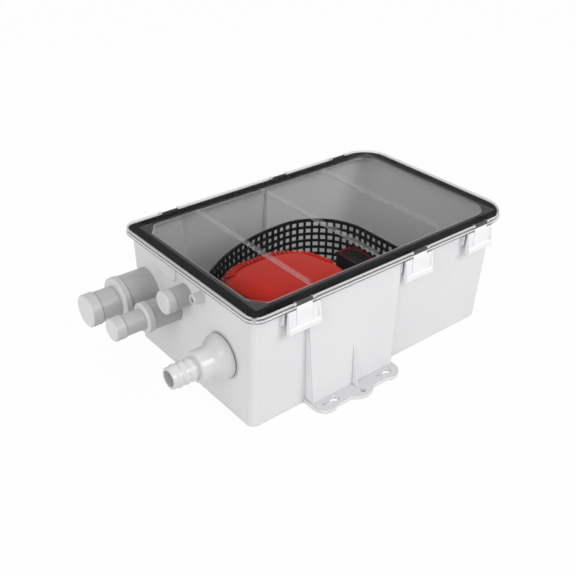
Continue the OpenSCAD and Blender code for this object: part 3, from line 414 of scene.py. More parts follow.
@dataclass(frozen=True)
class BandedPlastic:
    """Grey moulded plastic with painted light on its ends and painted highlights on its bead bands, each
    with a painted shadow line behind it.
    """

    name: str
    bands: tuple[Pair, ...]
    colour: Colour = (0.445, 0.445, 0.45)
    shade: Colour = (0.4, 0.4, 0.405)
    # Painted highlight on the beads, painted light on the ends, then the painted shadow line behind each
    # bead and its width.
    bead_highlight: Colour = (0.5, 0.5, 0.505)
    end: Colour = (0.73, 0.73, 0.74)
    line: Colour = (0.16, 0.16, 0.165)
    shadow_line_w: float = 0.8
    lead: float = 0.5

    def make(self) -> bpy.types.Material:
        """Builds the material.

        Returns:
            The material.
        """
        s = Shader(self.name)
        along = s.split(s.place)["X"]
        cloud = s.noise(80, detail=4)
        grain = s.noise(SPARK_GRAIN, detail=2)
        colour = s.mix(cloud, self.colour, self.shade)
        # Painted highlight on each bead and a painted shadow line behind it.
        for first, last in self.bands:
            band = along.within(first - self.lead, last)
            line = along.within(last, last + self.shadow_line_w)
            colour = s.mix(line, s.mix(band, colour, self.bead_highlight), self.line)
        # Painted light: faces that look along -X, the ends, are paler.
        end_light = s.ramp(s.facing()["X"] * -1, low=0.5, high=0.85)
        return s.surface(
            {
                "Base Color": s.mix(end_light, colour, self.end),
                "Roughness": 0.38 + 0.1 * (cloud - 0.5),
                "Normal": s.relief(grain, depth=0.012, edge=0.3),
                "IOR": PLASTIC_IOR,
            }
        )


@dataclass(frozen=True)
class HingedPlastic:
    """White moulded plastic with painted shade on its hinge knuckle."""

    name: str
    colour: Colour
    shade: Colour
    # Painted shade on the knuckle, and the height above which it is painted.
    painted_shade: Colour
    knuckle: float = 112.4

    def make(self) -> bpy.types.Material:
        """Builds the material.

        Returns:
            The material.
        """
        s = Shader(self.name)
        cloud = s.noise(110, detail=4)
        grain = s.noise(SPARK_GRAIN, detail=2)
        # Painted shade: all above the knuckle's height is dark.
        knuckle = s.split(s.place)["Z"] > self.knuckle * MM
        return s.surface(
            {
                "Base Color": s.mix(knuckle, s.mix(cloud, self.colour, self.shade), self.painted_shade),
                "Roughness": 0.38 + 0.12 * (cloud - 0.5),
                "Normal": s.relief(grain, depth=0.01, edge=0.35),
                "IOR": PLASTIC_IOR,
            }
        )


@dataclass(frozen=True)
class LedgedPlastic:
    """Glossy moulded plastic whose rear ledge is darker, where fins shade it."""

    name: str
    colour: Colour
    shade: Colour
    # Painted shade on the rear ledge.
    painted_shade: Colour
    rear: float
    ledge: Pair
    fade: float = 8.0
    roughness: float = 0.24

    def make(self) -> bpy.types.Material:
        """Builds the material.

        Returns:
            The material.
        """
        s = Shader(self.name)
        place = s.split(s.place)
        cloud = s.noise(60, detail=4)
        grain = s.noise(SPARK_GRAIN, detail=2)
        # Painted shade on the rear ledge between the fins.
        ledge = place["Z"].within(*self.ledge)
        ledge = ledge * s.ramp(place["Y"], (self.rear - self.fade) * MM, self.rear * MM)
        return s.surface(
            {
                "Base Color": s.mix(ledge, s.mix(cloud, self.colour, self.shade), self.painted_shade),
                "Roughness": self.roughness + 0.1 * (cloud - 0.5) + 0.2 * ledge,
                "Normal": s.relief(grain, depth=0.0003, edge=0.6),
                "Coat Weight": 0.12,
                "Coat Roughness": 0.06,
                "Specular IOR Level": 0.1,
            }
        )


@dataclass(frozen=True)
class TrimmedPlastic:
    """Dark moulded plastic with a coloured rim round a face with rounded corners."""

    name: str
    colour: Colour
    trim: Colour
    centre: Pair
    half: Pair
    rim: Pair = (1.0, 1.9)
    roughness: float = 0.45

    def make(self) -> bpy.types.Material:
        """Builds the material.

        Returns:
            The material.
        """
        s = Shader(self.name)
        place = s.split(s.place)
        cloud = s.noise(90, detail=4)
        grain = s.noise(SPARK_GRAIN, detail=2)
        across, along = (
            (place[axis] - centre * MM) * (1 / (half * MM))
            for axis, centre, half in zip("XY", self.centre, self.half)
        )
        off = (across * across) ** 2 + (along * along) ** 2
        trim = (off > self.rim[0]) - (off > self.rim[1])
        return s.surface(
            {
                "Base Color": s.mix(trim, self.colour, self.trim),
                "Roughness": self.roughness + 0.12 * (cloud - 0.5),
                "Normal": s.relief(grain, depth=0.01, edge=0.5),
                "Specular IOR Level": 0.1,
            }
        )


@dataclass(frozen=True)
class Rubber:
    """Moulded rubber with a dusty bloom.

    With a strip given, all inside of its half length and half width is paler: a painted highlight.
    """

    name: str
    colour: Colour
    bloom: Colour
    roughness: float = 0.6
    edge: float = 0.3
    gloss: float = 0.12
    # The paler inner strip is a painted highlight.
    highlight_strip: Pair | None = None
    strip_highlight_colour: Colour = (0.085, 0.083, 0.085)

    def make(self) -> bpy.types.Material:
        """Builds the material.

        Returns:
            The material.
        """
        s = Shader(self.name)
        dust = s.ramp(s.noise(220, detail=5), low=0.45, high=0.8)
        grain = s.noise(1800, detail=2)
        colour = s.mix(dust * 0.5, self.colour, self.bloom)
        # Painted highlight: the inner strip is paler.
        if self.highlight_strip:
            colour = s.mix(s.outside(*self.highlight_strip), self.strip_highlight_colour, colour)
        return s.surface(
            {
                "Base Color": colour,
                "Roughness": self.roughness + 0.2 * (dust - 0.5),
                "Normal": s.relief(grain, depth=0.02, edge=self.edge),
                "Specular IOR Level": self.gloss,
            }
        )


@dataclass(frozen=True)
class ClearPlastic:
    """Smoke-tinted clear sheet with painted highlights on its ribs, lip and skirt.

    The plate lies over plate_low, and all below it is paler and more opaque: painted light. Along the
    skirt run painted highlight bands and painted shade bands, each given by its heights.
    """

    name: str
    tint: Colour
    # Paler colour painted as light on all below the plate.
    bright: Colour
    body: float = 0.11
    lit: float = 0.3
    # Colours of the painted highlight bands and painted shade bands along the skirt.
    glint: Colour = (0.95, 0.95, 0.96)
    skirt_shade: Colour = (0.12, 0.12, 0.13)
    plate_low: float = 114.7
    skirt: Pair = (151.9, 96.7)
    lip: Pair = (137.0, 82.0)
    ribs: tuple[float, ...] = (-40.0, 37.5, 116.0)
    rib_half: float = 1.7
    # Heights of the painted highlight bands, then of the painted shade bands.
    glints: tuple[Pair, ...] = ((114.2, 116.1), (111.5, 112.3))
    skirt_shade_bands: tuple[Pair, ...] = ((112.3, 114.2), (109.9, 110.6))
    edge: float = 0.3

    def make(self) -> bpy.types.Material:
        """Builds the material.

        Returns:
            The material.
        """
        s = Shader(self.name)
        place = s.split(s.place)
        streak = s.noise(40, detail=3, place=s.stretched((0.3, 1, 1)))
        rim = Value(s, s.add("ShaderNodeLayerWeight", None, {"Blend": 0.35}).outputs["Facing"])
        below = 1 - (place["Z"] > self.plate_low * MM)
        outer = s.outside(*self.skirt)
        # Painted highlight bands and painted shade bands along the skirt.
        glint = s.most(*(place["Z"].within(*band) for band in self.glints)) * outer
        skirt_shade = s.most(*(place["Z"].within(*band) for band in self.skirt_shade_bands)) * outer
        # Painted highlight along the ribs, stopping at the lip.
        ribs = ((rib - self.rib_half, rib + self.rib_half) for rib in self.ribs)
        rib_highlight = s.most(*(place["X"].within(*rib) for rib in ribs))
        rib_highlight = rib_highlight * (1 - (place["Y"] * place["Y"] > (self.lip[1] * MM) ** 2))
        # Painted highlight on the lip.
        lip = (s.outside(*self.lip) - outer) * below
        # Painted light: all below the plate is more opaque and, with the ribs, paler.
        alpha = self.body + (self.lit - self.body) * below + 0.25 * (rim ** 4)
        alpha = alpha + 0.45 * glint + 0.3 * skirt_shade + 0.07 * rib_highlight + 0.35 * lip
        colour = s.mix(s.most(below, 0.75 * rib_highlight), self.tint, self.bright)
        return s.surface(
            {
                "Base Color": s.mix(skirt_shade, s.mix(glint, colour, self.glint), self.skirt_shade),
                "Roughness": 0.05 + 0.05 * streak,
                "Alpha": alpha,
                "Normal": s.relief(streak, depth=0.002, edge=self.edge),
                "IOR": PLASTIC_IOR,
                "Coat Weight": 0.4 * below,
                "Coat Roughness": 0.03,
                "Specular IOR Level": 0.07,
            }
        )


@dataclass(frozen=True)
class Metal:
    """Turned or pressed metal with fine brushing and a few duller patches."""

    name: str
    colour: Colour
    shade: Colour
    roughness: float = 0.3
    brushing: tuple[float, float, float] = (1, 1, 14)

    def make(self) -> bpy.types.Material:
        """Builds the material.

        Returns:
            The material.
        """
        s = Shader(self.name)
        lines = s.noise(500, detail=3, place=s.stretched(self.brushing))
        patch = s.ramp(s.noise(120, detail=4), low=0.4, high=0.7)
        return s.surface(
            {
                "Base Color": s.mix(patch, self.colour, self.shade),
                "Metallic": 1.0 - 0.15 * patch,
                "Roughness": self.roughness + 0.2 * (lines - 0.5) + 0.12 * patch,
                "Normal": s.relief(lines, depth=0.006, edge=0.15),
            }
        )


class Finish(Enum):
    """The finishes of the parts. Most have the name of a slot in the record."""

    # The tub's edge share paints shade on its outer edges and feet.
    tub_plastic = MouldedPlastic(
        "tub_plastic", srgb(229, 229, 230), srgb(224, 224, 226), edge=0.8, edge_shade=0.4
    )
    # The inlets carry painted highlights on beads and ends, and painted shadow lines.
    inlet_large = BandedPlastic("inlet_large", ((-169.25, -159.25), (-139.75, -133.25)))
    inlet_medium = BandedPlastic("inlet_medium", ((-167.75, -157.75), (-138.25, -131.75)))
    inlet_small = BandedPlastic("inlet_small", ((-128.75, -120.25),))
    fitting_plastic = MouldedPlastic(
        "fitting_plastic", srgb(214, 214, 215), srgb(206, 206, 207), 0.2, coat=0.3
    )
    # Last colour: painted shade on the hinge knuckle.
    latch_plastic = HingedPlastic(
        "latch_plastic", srgb(243, 243, 244), srgb(236, 236, 238), srgb(58, 58, 60)
    )
    # Second colour: the paler colour painted as light below the plate.
    clear_lid = ClearPlastic("clear_lid", srgb(30, 30, 32), srgb(200, 201, 204))
    # Its inner strip is a painted highlight.
    gasket_rubber = Rubber("gasket_rubber", srgb(12, 13, 15), srgb(26, 27, 30), highlight_strip=(143.0, 87.8))
    pale_rubber = Rubber("pale_rubber", srgb(150, 150, 152), srgb(172, 172, 173))
    soft_rubber = Rubber("soft_rubber", srgb(30, 30, 31), srgb(58, 58, 58))
    hose_rubber = Rubber("hose_rubber", srgb(36, 37, 39), srgb(62, 62, 64), 0.5)
    black_plastic = MouldedPlastic(
        "black_plastic", srgb(11, 11, 13), srgb(18, 18, 20), 0.45, gloss=0.15
    )
    pump_grey = MouldedPlastic("pump_grey", srgb(40, 36, 37), srgb(52, 46, 47), 0.4)
    impeller_plastic = MouldedPlastic("impeller_plastic", srgb(60, 62, 66), srgb(74, 76, 80), 0.45)
    # Third colour: painted shade on the rear ledge.
    cap_red = LedgedPlastic(
        "cap_red", srgb(226, 42, 14), srgb(210, 32, 12), srgb(118, 18, 10), -8.0, (93.0, 98.6)
    )
    fin_red = MouldedPlastic(
        "fin_red", srgb(230, 50, 24), srgb(214, 36, 18), 0.3, grain=0.001, edge=0.4, gloss=0.2
    )
    switch_red = TrimmedPlastic(
        "switch_red", srgb(16, 14, 15), srgb(112, 26, 24), (62.0, -29.0), (9.0, 14.0)
    )
    float_plastic = MouldedPlastic("float_plastic", srgb(40, 40, 42), srgb(56, 56, 58), 0.5)
    steel = Metal("steel", srgb(196, 196, 198), srgb(160, 160, 164))
    can_steel = Metal("can_steel", srgb(170, 172, 176), srgb(140, 142, 146), 0.35)
    magnet = Rubber("magnet", srgb(46, 46, 48), srgb(64, 62, 62), 0.55)
    armature_iron = Metal("armature_iron", srgb(120, 116, 112), srgb(92, 84, 78), 0.45)
    bush_bronze = Metal("bush_bronze", srgb(176, 128, 72), srgb(140, 98, 56), 0.35)


PARTS: dict[Finish, tuple[str, ...]] = {
    Finish.tub_plastic: ("sump_box",),
    Finish.inlet_large: ("inlet_port_large",),
    Finish.inlet_medium: ("inlet_port_medium",),
    Finish.inlet_small: ("inlet_port_small",),
    Finish.fitting_plastic: ("cable_nozzle", "discharge_fitting"),
    Finish.latch_plastic: tuple(
        f"latch_{side}_{place}" for side in ("front", "back") for place in ("port", "middle", "far")
    ),
    Finish.clear_lid: ("lid",),
    Finish.gasket_rubber: ("lid_gasket",),
    Finish.soft_rubber: ("cable_grommet", "cap_seal", "shaft_seal", "check_flap"),
    Finish.pale_rubber: ("discharge_seal",),
    Finish.hose_rubber: ("discharge_hose",),
    Finish.black_plastic: (
        "strainer_screen", "discharge_nut", "float_switch_case", "pump_base", "motor_housing",
    ),
    Finish.pump_grey: ("volute",),
    Finish.impeller_plastic: ("impeller",),
    Finish.cap_red: ("pump_cap",),
    Finish.switch_red: ("switch_cover",),
    Finish.float_plastic: ("float_lever",),
    Finish.steel: (
        "flap_pin", "hose_clamp_wall", "hose_clamp_pump", "base_screws", "pump_screws",
        "motor_shaft", "switch_screws", "float_pin",
    ),
    Finish.can_steel: ("motor_can",),
    Finish.magnet: ("motor_magnets",),
    Finish.armature_iron: ("armature",),
    Finish.bush_bronze: ("bearing_lower", "bearing_upper"),
}


class Bench:
    """Small modelling moves that several pieces share."""

    def __init__(self) -> None:
        """Makes every finish once."""
        self.materials = {finish: finish.value.make() for finish in Finish}

    @staticmethod
    def clear() -> None:
        """Leaves nothing selected, in object mode."""
        if bpy.context.object and bpy.context.object.mode != "OBJECT":
            bpy.ops.object.mode_set(mode="OBJECT")
        bpy.ops.object.select_all(action="DESELECT")

    @staticmethod
    def pick(obj: bpy.types.Object) -> None:
        """Leaves one piece alone selected and active.

        Args:
            obj: The piece.
        """
        Bench.clear()
        obj.select_set(True)
        bpy.context.view_layer.objects.active = obj

    def dress(self, node: str, finish: Finish) -> None:
        """Gives a part of the frame its finish.

        Args:
            node: Name of the part.
            finish: Its finish.
        """
        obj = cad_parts[node]
        if not obj.data.materials:
            obj.data.materials.append(None)
        for slot in obj.material_slots:
            slot.link = "OBJECT"
            slot.material = self.materials[finish]
        LOG.info("dressed %s in %s", node, finish.name)

    def settle(
        self, obj: bpy.types.Object, name: str, finish: Finish, body: str, replaces: Sequence[str]
    ) -> bpy.types.Object:
        """Names a new piece, gives it its finish and lets it ride on its body.

        Args:
            obj: The piece.
            name: Its name.
            finish: Its finish.
            body: The body that it moves with.
            replaces: Parts of the frame that it stands for.

        Returns:
            The piece.
        """
        self.pick(obj)
        bpy.ops.object.transform_apply(location=True, rotation=True, scale=True)
        obj.name = obj.data.name = name
        obj.data.materials.clear()
        obj.data.materials.append(self.materials[finish])
        bpy.ops.object.shade_smooth_by_angle(angle=math.radians(SMOOTH_ANGLE))
        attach(obj, body)
        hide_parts(*replaces)
        self.clear()
        LOG.info("built %s, %d faces", name, len(obj.data.polygons))
        return obj

    @staticmethod
    def modify(obj: bpy.types.Object, kind: str, **settings: Any) -> None:
        """Adds a modifier and applies it.

        Args:
            obj: The piece.
            kind: The modifier's type.
            settings: Its settings.
        """
        Bench.pick(obj)
        modifier = obj.modifiers.new(kind.lower(), kind)
        for key, value in settings.items():
            setattr(modifier, key, value)
        bpy.ops.object.modifier_apply(modifier=modifier.name)

    @staticmethod
    def circle(count: int) -> bpy.types.Object:
        """Adds a circle of points, to be laid out afterwards.

        Args:
            count: Its points.

        Returns:
            The circle.
        """
        Bench.clear()
        bpy.ops.mesh.primitive_circle_add(vertices=count, radius=1)
        return bpy.context.object

    @staticmethod
    def turn_out() -> None:
        """Turns all faces of the piece in edit mode outwards, and goes back to object mode."""
        bpy.ops.mesh.select_all(action="SELECT")
        bpy.ops.mesh.normals_make_consistent(inside=False)
        bpy.ops.object.mode_set(mode="OBJECT")

    @staticmethod
    def loft(count: int, rings: Sequence[Curve]) -> bpy.types.Object:
        """Extrudes a circle ring by ring, lays each ring where its curve says and closes the last.

        Args:
            count: Points of a ring.
            rings: One curve for each ring: it takes a share of the turn and gives the point there.

        Returns:
            The shell, open at its first ring.
        """
        obj = Bench.circle(count)
        for at, vert in enumerate(obj.data.vertices):
            vert.co = rings[0](at / count)
        bpy.ops.object.mode_set(mode="EDIT")
        bpy.ops.mesh.select_all(action="SELECT")
        for last, ring in zip(rings, rings[1:]):
            bpy.ops.mesh.extrude_edges_move()
            mesh = bmesh.from_edit_mesh(obj.data)
            before = [last(k / count) for k in range(count)]
            for vert in [v for v in mesh.verts if v.select]:
                k = min(range(count), key=lambda n: (before[n] - vert.co).length_squared)
                vert.co = ring(k / count)
            bmesh.update_edit_mesh(obj.data)
        bpy.ops.mesh.edge_face_add()
        Bench.turn_out()
        return obj


@dataclass
class Strainer:
    """Black fence of square mesh in one moulding. Lengths are in millimetres and angles in degrees.

    In plan it runs straight from the front wall, then round the centre by a quarter turn and the
    slant, straight again over the run, and in one slow turn to its end at the port wall.
    """

    bench: Bench
    pitch: float = 7.3
    hole: float = 5.0
    rows: int = 12
    rim: float = 3.0
    thick: float = 1.9
    floor: float = 2.5
    top: float = 97.0
    centre: Pair = (29.2, -15.3)
    radius: float = 55.3
    slant: float = 2.0
    run: float = 9.5
    end: Pair = (-95.25, -7.6)
    posts: float = 6.0
    post: float = 1.0
    wall_y: float = -91.2
    lean: float = 5.4 / 113.3
    rim_z: float = 113.3
    bite: float = 0.05
    port_x: float = -102.45

    def path(self) -> tuple[list[Pair], list[int]]:
        """Plan of the fence.

        Returns:
            Its points, from the front wall to the end wall, and which of the stretches between them
            are open: 1 for a hole, 0 for a bar.
        """
        length = sum(self.legs())
        count = int((length - self.posts) / self.pitch)
        lead = length - count * self.pitch - self.post
        marks = [0.0]
        for k in range(count):
            at = lead + k * self.pitch + (self.pitch - self.hole) / 2
            marks += [at, at + self.hole / 2, at + self.hole]
        points = [self.place(at) for at in marks + [length]]
        points.append((self.port_x, points[-1][1]))
        return points, [0, 1, 1] * count + [0, 0]

    def legs(self) -> tuple[float, float, float, float]:
        """Measures the stretches.

        Returns:
            Lengths of the straight, round, slanted and slowly turning stretches.
        """
        start = self.centre[1] - self.wall_y - self.lean * self.rim_z
        _, radius, angle = self.sweep()
        return (start, self.radius * math.radians(90 + self.slant), self.run, radius * angle)

    def heading(self) -> tuple[Vector, Vector]:
        """Directions of the slanted stretch.

        Returns:
            The one along it, and the one across it, towards the centre.
        """
        turn = math.radians(90 + self.slant)
        return Vector((-math.sin(turn), math.cos(turn))), Vector((-math.cos(turn), -math.sin(turn)))

    def sweep(self) -> tuple[Vector, float, float]:
        """Works out the last stretch, which meets the slanted one without a kink.

        Returns:
            Its start, radius and angle.
        """
        ahead, across = self.heading()
        first = Vector(self.centre) - across * self.radius + ahead * self.run
        chord = Vector(self.end) - first
        radius = chord.length_squared / (2 * chord.dot(across))
        return first, radius, 2 * math.asin(chord.length / 2 / radius)

    def place(self, at: float) -> Pair:
        """Point of the plan.

        Args:
            at: Distance along it, from the front wall.

        Returns:
            The point.
        """
        start, arc, run, _ = self.legs()
        centre = Vector(self.centre)
        if at < start:
            return (centre.x + self.radius, centre.y - start + at)
        at -= start
        if at < arc:
            angle = at / self.radius
            return tuple(centre + self.radius * Vector((math.cos(angle), math.sin(angle))))
        ahead, across = self.heading()
        at -= arc
        if at < run:
            return tuple(centre - across * self.radius + ahead * at)
        first, radius, _ = self.sweep()
        angle = (at - run) / radius
        sideways = across * radius * (1 - math.cos(angle))
        return tuple(first + ahead * radius * math.sin(angle) + sideways)

    def heights(self) -> list[float]:
        """Works out where the level edges are.

        Returns:
            Their heights, from the floor to the fence's top.
        """
        first = self.top - self.rim - self.rows * self.pitch + (self.pitch - self.hole)
        lows = [first + k * self.pitch for k in range(self.rows)]
        return [self.floor, *(z for low in lows for z in (low, low + self.hole)), self.top]

    def build(self) -> bpy.types.Object:
        """Builds the fence from one grid.

        Returns:
            The fence.
        """
        points, open_ = self.path()
        heights = self.heights()
        Bench.clear()
        bpy.ops.mesh.primitive_grid_add(
            x_subdivisions=len(points) - 1, y_subdivisions=len(heights) - 1, size=2
        )
        obj = bpy.context.object
        wide = len(points)
        if len(obj.data.vertices) != wide * len(heights):
            raise ValueError("the fence's grid has another count of points")
        for at, vert in enumerate(obj.data.vertices):
            column, z = at % wide, heights[at // wide]
            x, y = points[column]
            if column == 0:
                y -= self.lean * z - self.bite
            vert.co = Vector((x, y, z)) * MM
        bpy.ops.object.mode_set(mode="EDIT")
        bpy.ops.mesh.select_mode(type="FACE")
        bpy.ops.mesh.select_all(action="DESELECT")
        mesh = bmesh.from_edit_mesh(obj.data)
        mesh.faces.ensure_lookup_table()
        for face in mesh.faces:
            columns = sorted(v.index % wide for v in face.verts)
            rows = sorted(v.index // wide for v in face.verts)
            if open_[columns[0]] and rows[0] % 2 == 1 and columns[-1] - columns[0] == 1:
                face.select = True
        bmesh.update_edit_mesh(obj.data)
        bpy.ops.mesh.delete(type="FACE")
        bpy.ops.object.mode_set(mode="OBJECT")
        Bench.modify(obj, "SOLIDIFY", thickness=self.thick * MM, offset=0.0, use_even_offset=True)
        return self.bench.settle(obj, "strainer_mesh", Finish.black_plastic, "tub", ("strainer_screen",))


@dataclass
class Discharge:
    """Barbed fitting, turned about its axis: a base ring, a short bell, a neck, three rings and a bore.

    Distances along the axis are measured towards the hose, from the frame's origin. Those of the bell
    and the shoulder count from the face and from the step, and those of the rings are in pitches.
    """

    bench: Bench
    axis: Pair = (-50.0, 54.5)
    face: float = 106.75
    step: float = 134.25
    tip: float = 158.25
    round: float = 0.45
    root: float = 9.5
    barb: float = 10.4
    pitch: float = 6.4
    rings: tuple[float, ...] = (0.35, 1.35, 2.35)
    ring: tuple[float, float, float, float] = (0.0, 0.2, 0.45, 0.8)
    neck: float = 13.7
    shoulder: tuple[Pair, ...] = ((1.0, 0.0), (0.3, 0.2), (0.0, 0.8))
    bore: float = 7.2
    steps: int = 96
    weld: float = 1e-6
    bell: tuple[Pair, ...] = (
        (0.0, 19.8), (0.4, 20.2), (3.4, 20.2), (4.2, 20.0), (5.0, 19.6), (6.2, 18.9), (7.8, 17.8),
        (9.6, 16.5), (11.4, 15.3), (13.4, 14.4), (15.4, 13.9),
    )
    inside: tuple[Pair, ...] = (
        (134.05, 7.2), (127.75, 11.5), (108.75, 11.5), (108.75, 6.8), (84.75, 6.8),
        (84.75, 9.05), (86.45, 9.95), (87.3, 9.5), (92.8, 9.5), (92.8, 11.0), (106.75, 11.0),
    )

    def profile(self) -> list[Pair]:
        """Outline of half a cut through the fitting.

        Returns:
            Distances towards the hose and radii.
        """
        points = [(self.face + out, r) for out, r in self.bell]
        points += [(self.step - back, self.neck - lower) for back, lower in self.shoulder]
        points.append((self.step, self.root))
        for first in self.rings:
            for share, r in zip(self.ring, (self.root, self.barb, self.barb, self.root)):
                points.append((self.step + (first + share) * self.pitch, r))
        points += [(self.tip - self.round, self.root), (self.tip, self.root - self.round)]
        points.append((self.tip, self.bore))
        return points + list(self.inside)

    def build(self) -> bpy.types.Object:
        """Builds the fitting.

        Returns:
            The fitting.
        """
        points = self.profile()
        obj = Bench.circle(len(points))
        for vert, (out, r) in zip(obj.data.vertices, points):
            vert.co = Vector((-out, r, 0)) * MM
        Bench.modify(
            obj,
            "SCREW",
            axis="X",
            angle=2 * math.pi,
            steps=self.steps,
            render_steps=self.steps,
            use_merge_vertices=True,
            merge_threshold=self.weld,
        )
        bpy.ops.object.mode_set(mode="EDIT")
        Bench.turn_out()
        obj.location = Vector((0, *self.axis)) * MM
        return self.bench.settle(
            obj, "discharge_body", Finish.fitting_plastic, "tub", ("discharge_fitting",)
        )


@dataclass
class PumpCap:
    """Red moulded cap: a flange, a body with a smooth front slope and a flat top, and fins along the rear.

    The flange is an oval round (x, y), the body a rounded square round its own middle. Lengths are in
    millimetres. The fins stand along a part of the body's turn, which is counted in line_steps.
    """

    bench: Bench
    x: float = -29.2
    y: float = -28.2
    half: float = 10.0
    radius: float = 41.5
    wall: float = 2.4
    low: float = 88.25
    flange: float = 90.6
    rim: float = 94.2
    edge: float = 98.8
    crown: float = 2.0
    round: float = 0.4
    body: Pair = (-26.7, -37.5)
    wide: float = 46.8
    deep: Pair = (34.0, 43.2)
    square: float = 2 / 3
    slant: float = 0.18
    slope: float = 8.0
    slope_rings: int = 10
    slope_turn: float = 1.35
    slope_sine: float = 0.976
    shift: float = 4.0
    top: tuple[Pair, ...] = ((0.8, 0.25), (2.0, 0.5), (4.0, 0.7), (8.0, 0.8), (13.0, 0.92), (19.0, 1.0))
    ribs: int = 27
    rib_size: tuple[float, float, float] = (8.0, 1.9, 3.4)
    rib_up: float = 0.55
    rib_out: float = 0.5
    line_steps: int = 720
    line_part: tuple[int, int] = (-9, 276)
    points: int = 240

    def angle(self, share: float) -> float:
        """Angle at a share of the turn, half a point further so that no point lies on an axis."""
        return 2 * math.pi * (share + 0.5 / self.points)

    def oval(self, radius: float, z: float, share: float) -> Vector:
        """Point of the flange's outline.

        Args:
            radius: Radius of its round ends.
            z: Its height.
            share: Share of the turn.

        Returns:
            The point.
        """
        angle = self.angle(share)
        side = self.half if math.cos(angle) > 0 else -self.half
        x = self.x + side + radius * math.cos(angle)
        return Vector((x, self.y + radius * math.sin(angle), z)) * MM

    def loop(self, inset: float, z: float, shift: float, share: float) -> Vector:
        """Point of the body's outline: a rounded square, slanted a little.

        Args:
            inset: How far it lies inside the widest outline.
            z: Its height.
            shift: How far it is moved towards the front.
            share: Share of the turn.

        Returns:
            The point.
        """
        angle = self.angle(share)
        c, n = math.cos(angle), math.sin(angle)
        x = (self.wide - inset) * math.copysign(abs(c) ** self.square, c)
        y = (self.deep[n > 0] - inset) * math.copysign(abs(n) ** self.square, n)
        return Vector((self.body[0] + x - self.slant * y, self.body[1] - shift + y, z)) * MM

    def rings(self) -> list[Curve]:
        """Works out the rings of the shell.

        Returns:
            Their curves, from the flange's foot to the flat middle of the top.
        """
        rings = [
            partial(self.oval, self.radius - 0.3, self.low),
            partial(self.oval, self.radius, self.low + self.round),
            partial(self.oval, self.radius, self.flange - self.round),
            partial(self.oval, self.radius - self.round, self.flange),
            partial(self.loop, 1.0, self.flange + 0.3, 0.0),
            partial(self.loop, 0.0, self.flange + 0.9, 0.0),
            partial(self.loop, 0.0, self.rim - 0.6, 0.0),
            partial(self.loop, self.round, self.rim, 0.0),
        ]
        for k in range(1, self.slope_rings + 1):
            share = k / self.slope_rings
            up = (self.edge - self.rim) * math.sin(share * self.slope_turn) / self.slope_sine
            inset = self.round + (self.slope - self.round) * share
            rings.append(partial(self.loop, inset, self.rim + up, self.shift * share))
        for inward, share in self.top:
            height = self.edge + self.crown * share
            rings.append(partial(self.loop, self.slope + inward, height, self.shift))
        return rings

    def build(self) -> bpy.types.Object:
        """Builds the cap and its fins.

        Returns:
            The cap.
        """
        shell = Bench.loft(self.points, self.rings())
        Bench.modify(shell, "SOLIDIFY", thickness=self.wall * MM, offset=-1.0)
        fins = self.fins()
        Bench.clear()
        for fin in fins:
            fin.select_set(True)
        bpy.context.view_layer.objects.active = fins[0]
        bpy.ops.object.join()
        self.bench.settle(bpy.context.object, "cap_fins", Finish.fin_red, "tub", ("pump_cap",))
        return self.bench.settle(shell, "cap_moulding", Finish.cap_red, "tub", ("pump_cap",))

    def fins(self) -> list[bpy.types.Object]:
        """Builds grip fins at even distances along the rear slope.

        Returns:
            The fins.
        """
        curve = partial(self.loop, self.slope / 2, 0.0, self.shift / 2)
        line = [curve(k / self.line_steps) for k in range(*self.line_part)]
        far = [0.0]
        for first, second in zip(line, line[1:]):
            far.append(far[-1] + (second - first).length)
        fins = []
        for k in range(self.ribs):
            goal = far[-1] * k / (self.ribs - 1)
            at = min(range(1, len(line) - 1), key=lambda n: abs(far[n] - goal))
            along = (line[at + 1] - line[at - 1]).normalized()
            fins.append(self.fin(line[at], math.atan2(-along.x, along.y)))
        return fins

    def fin(self, place: Vector, angle: float) -> bpy.types.Object:
        """One grip fin.

        Args:
            place: Middle of the fin in plan, in metres.
            angle: Direction in which it points outwards.

        Returns:
            The fin.
        """
        Bench.clear()
        bpy.ops.mesh.primitive_cube_add(size=1)
        obj = bpy.context.object
        bpy.ops.object.mode_set(mode="EDIT")
        bpy.ops.transform.resize(value=tuple(v * MM for v in self.rib_size))
        bpy.ops.mesh.bevel(offset=self.round * MM, segments=2, affect="EDGES")
        bpy.ops.object.mode_set(mode="OBJECT")
        width = self.slope + self.shift * max(math.sin(angle), 0.0)
        tilt = math.atan2(self.edge - self.rim, width)
        height = self.rim * (1 - self.rib_up) + self.edge * self.rib_up + self.rib_out
        middle = Vector((place.x, place.y, height * MM))
        turn = Matrix.Rotation(angle, 4, "Z") @ Matrix.Rotation(tilt, 4, "Y")
        obj.data.transform(Matrix.Translation(middle) @ turn)
        return obj


@dataclass(frozen=True)
class Lamp:
    """A square soft lamp: its name, place and size in millimetres, and power in watts."""

    name: str
    place: tuple[float, float, float]
    size: float
    power: float


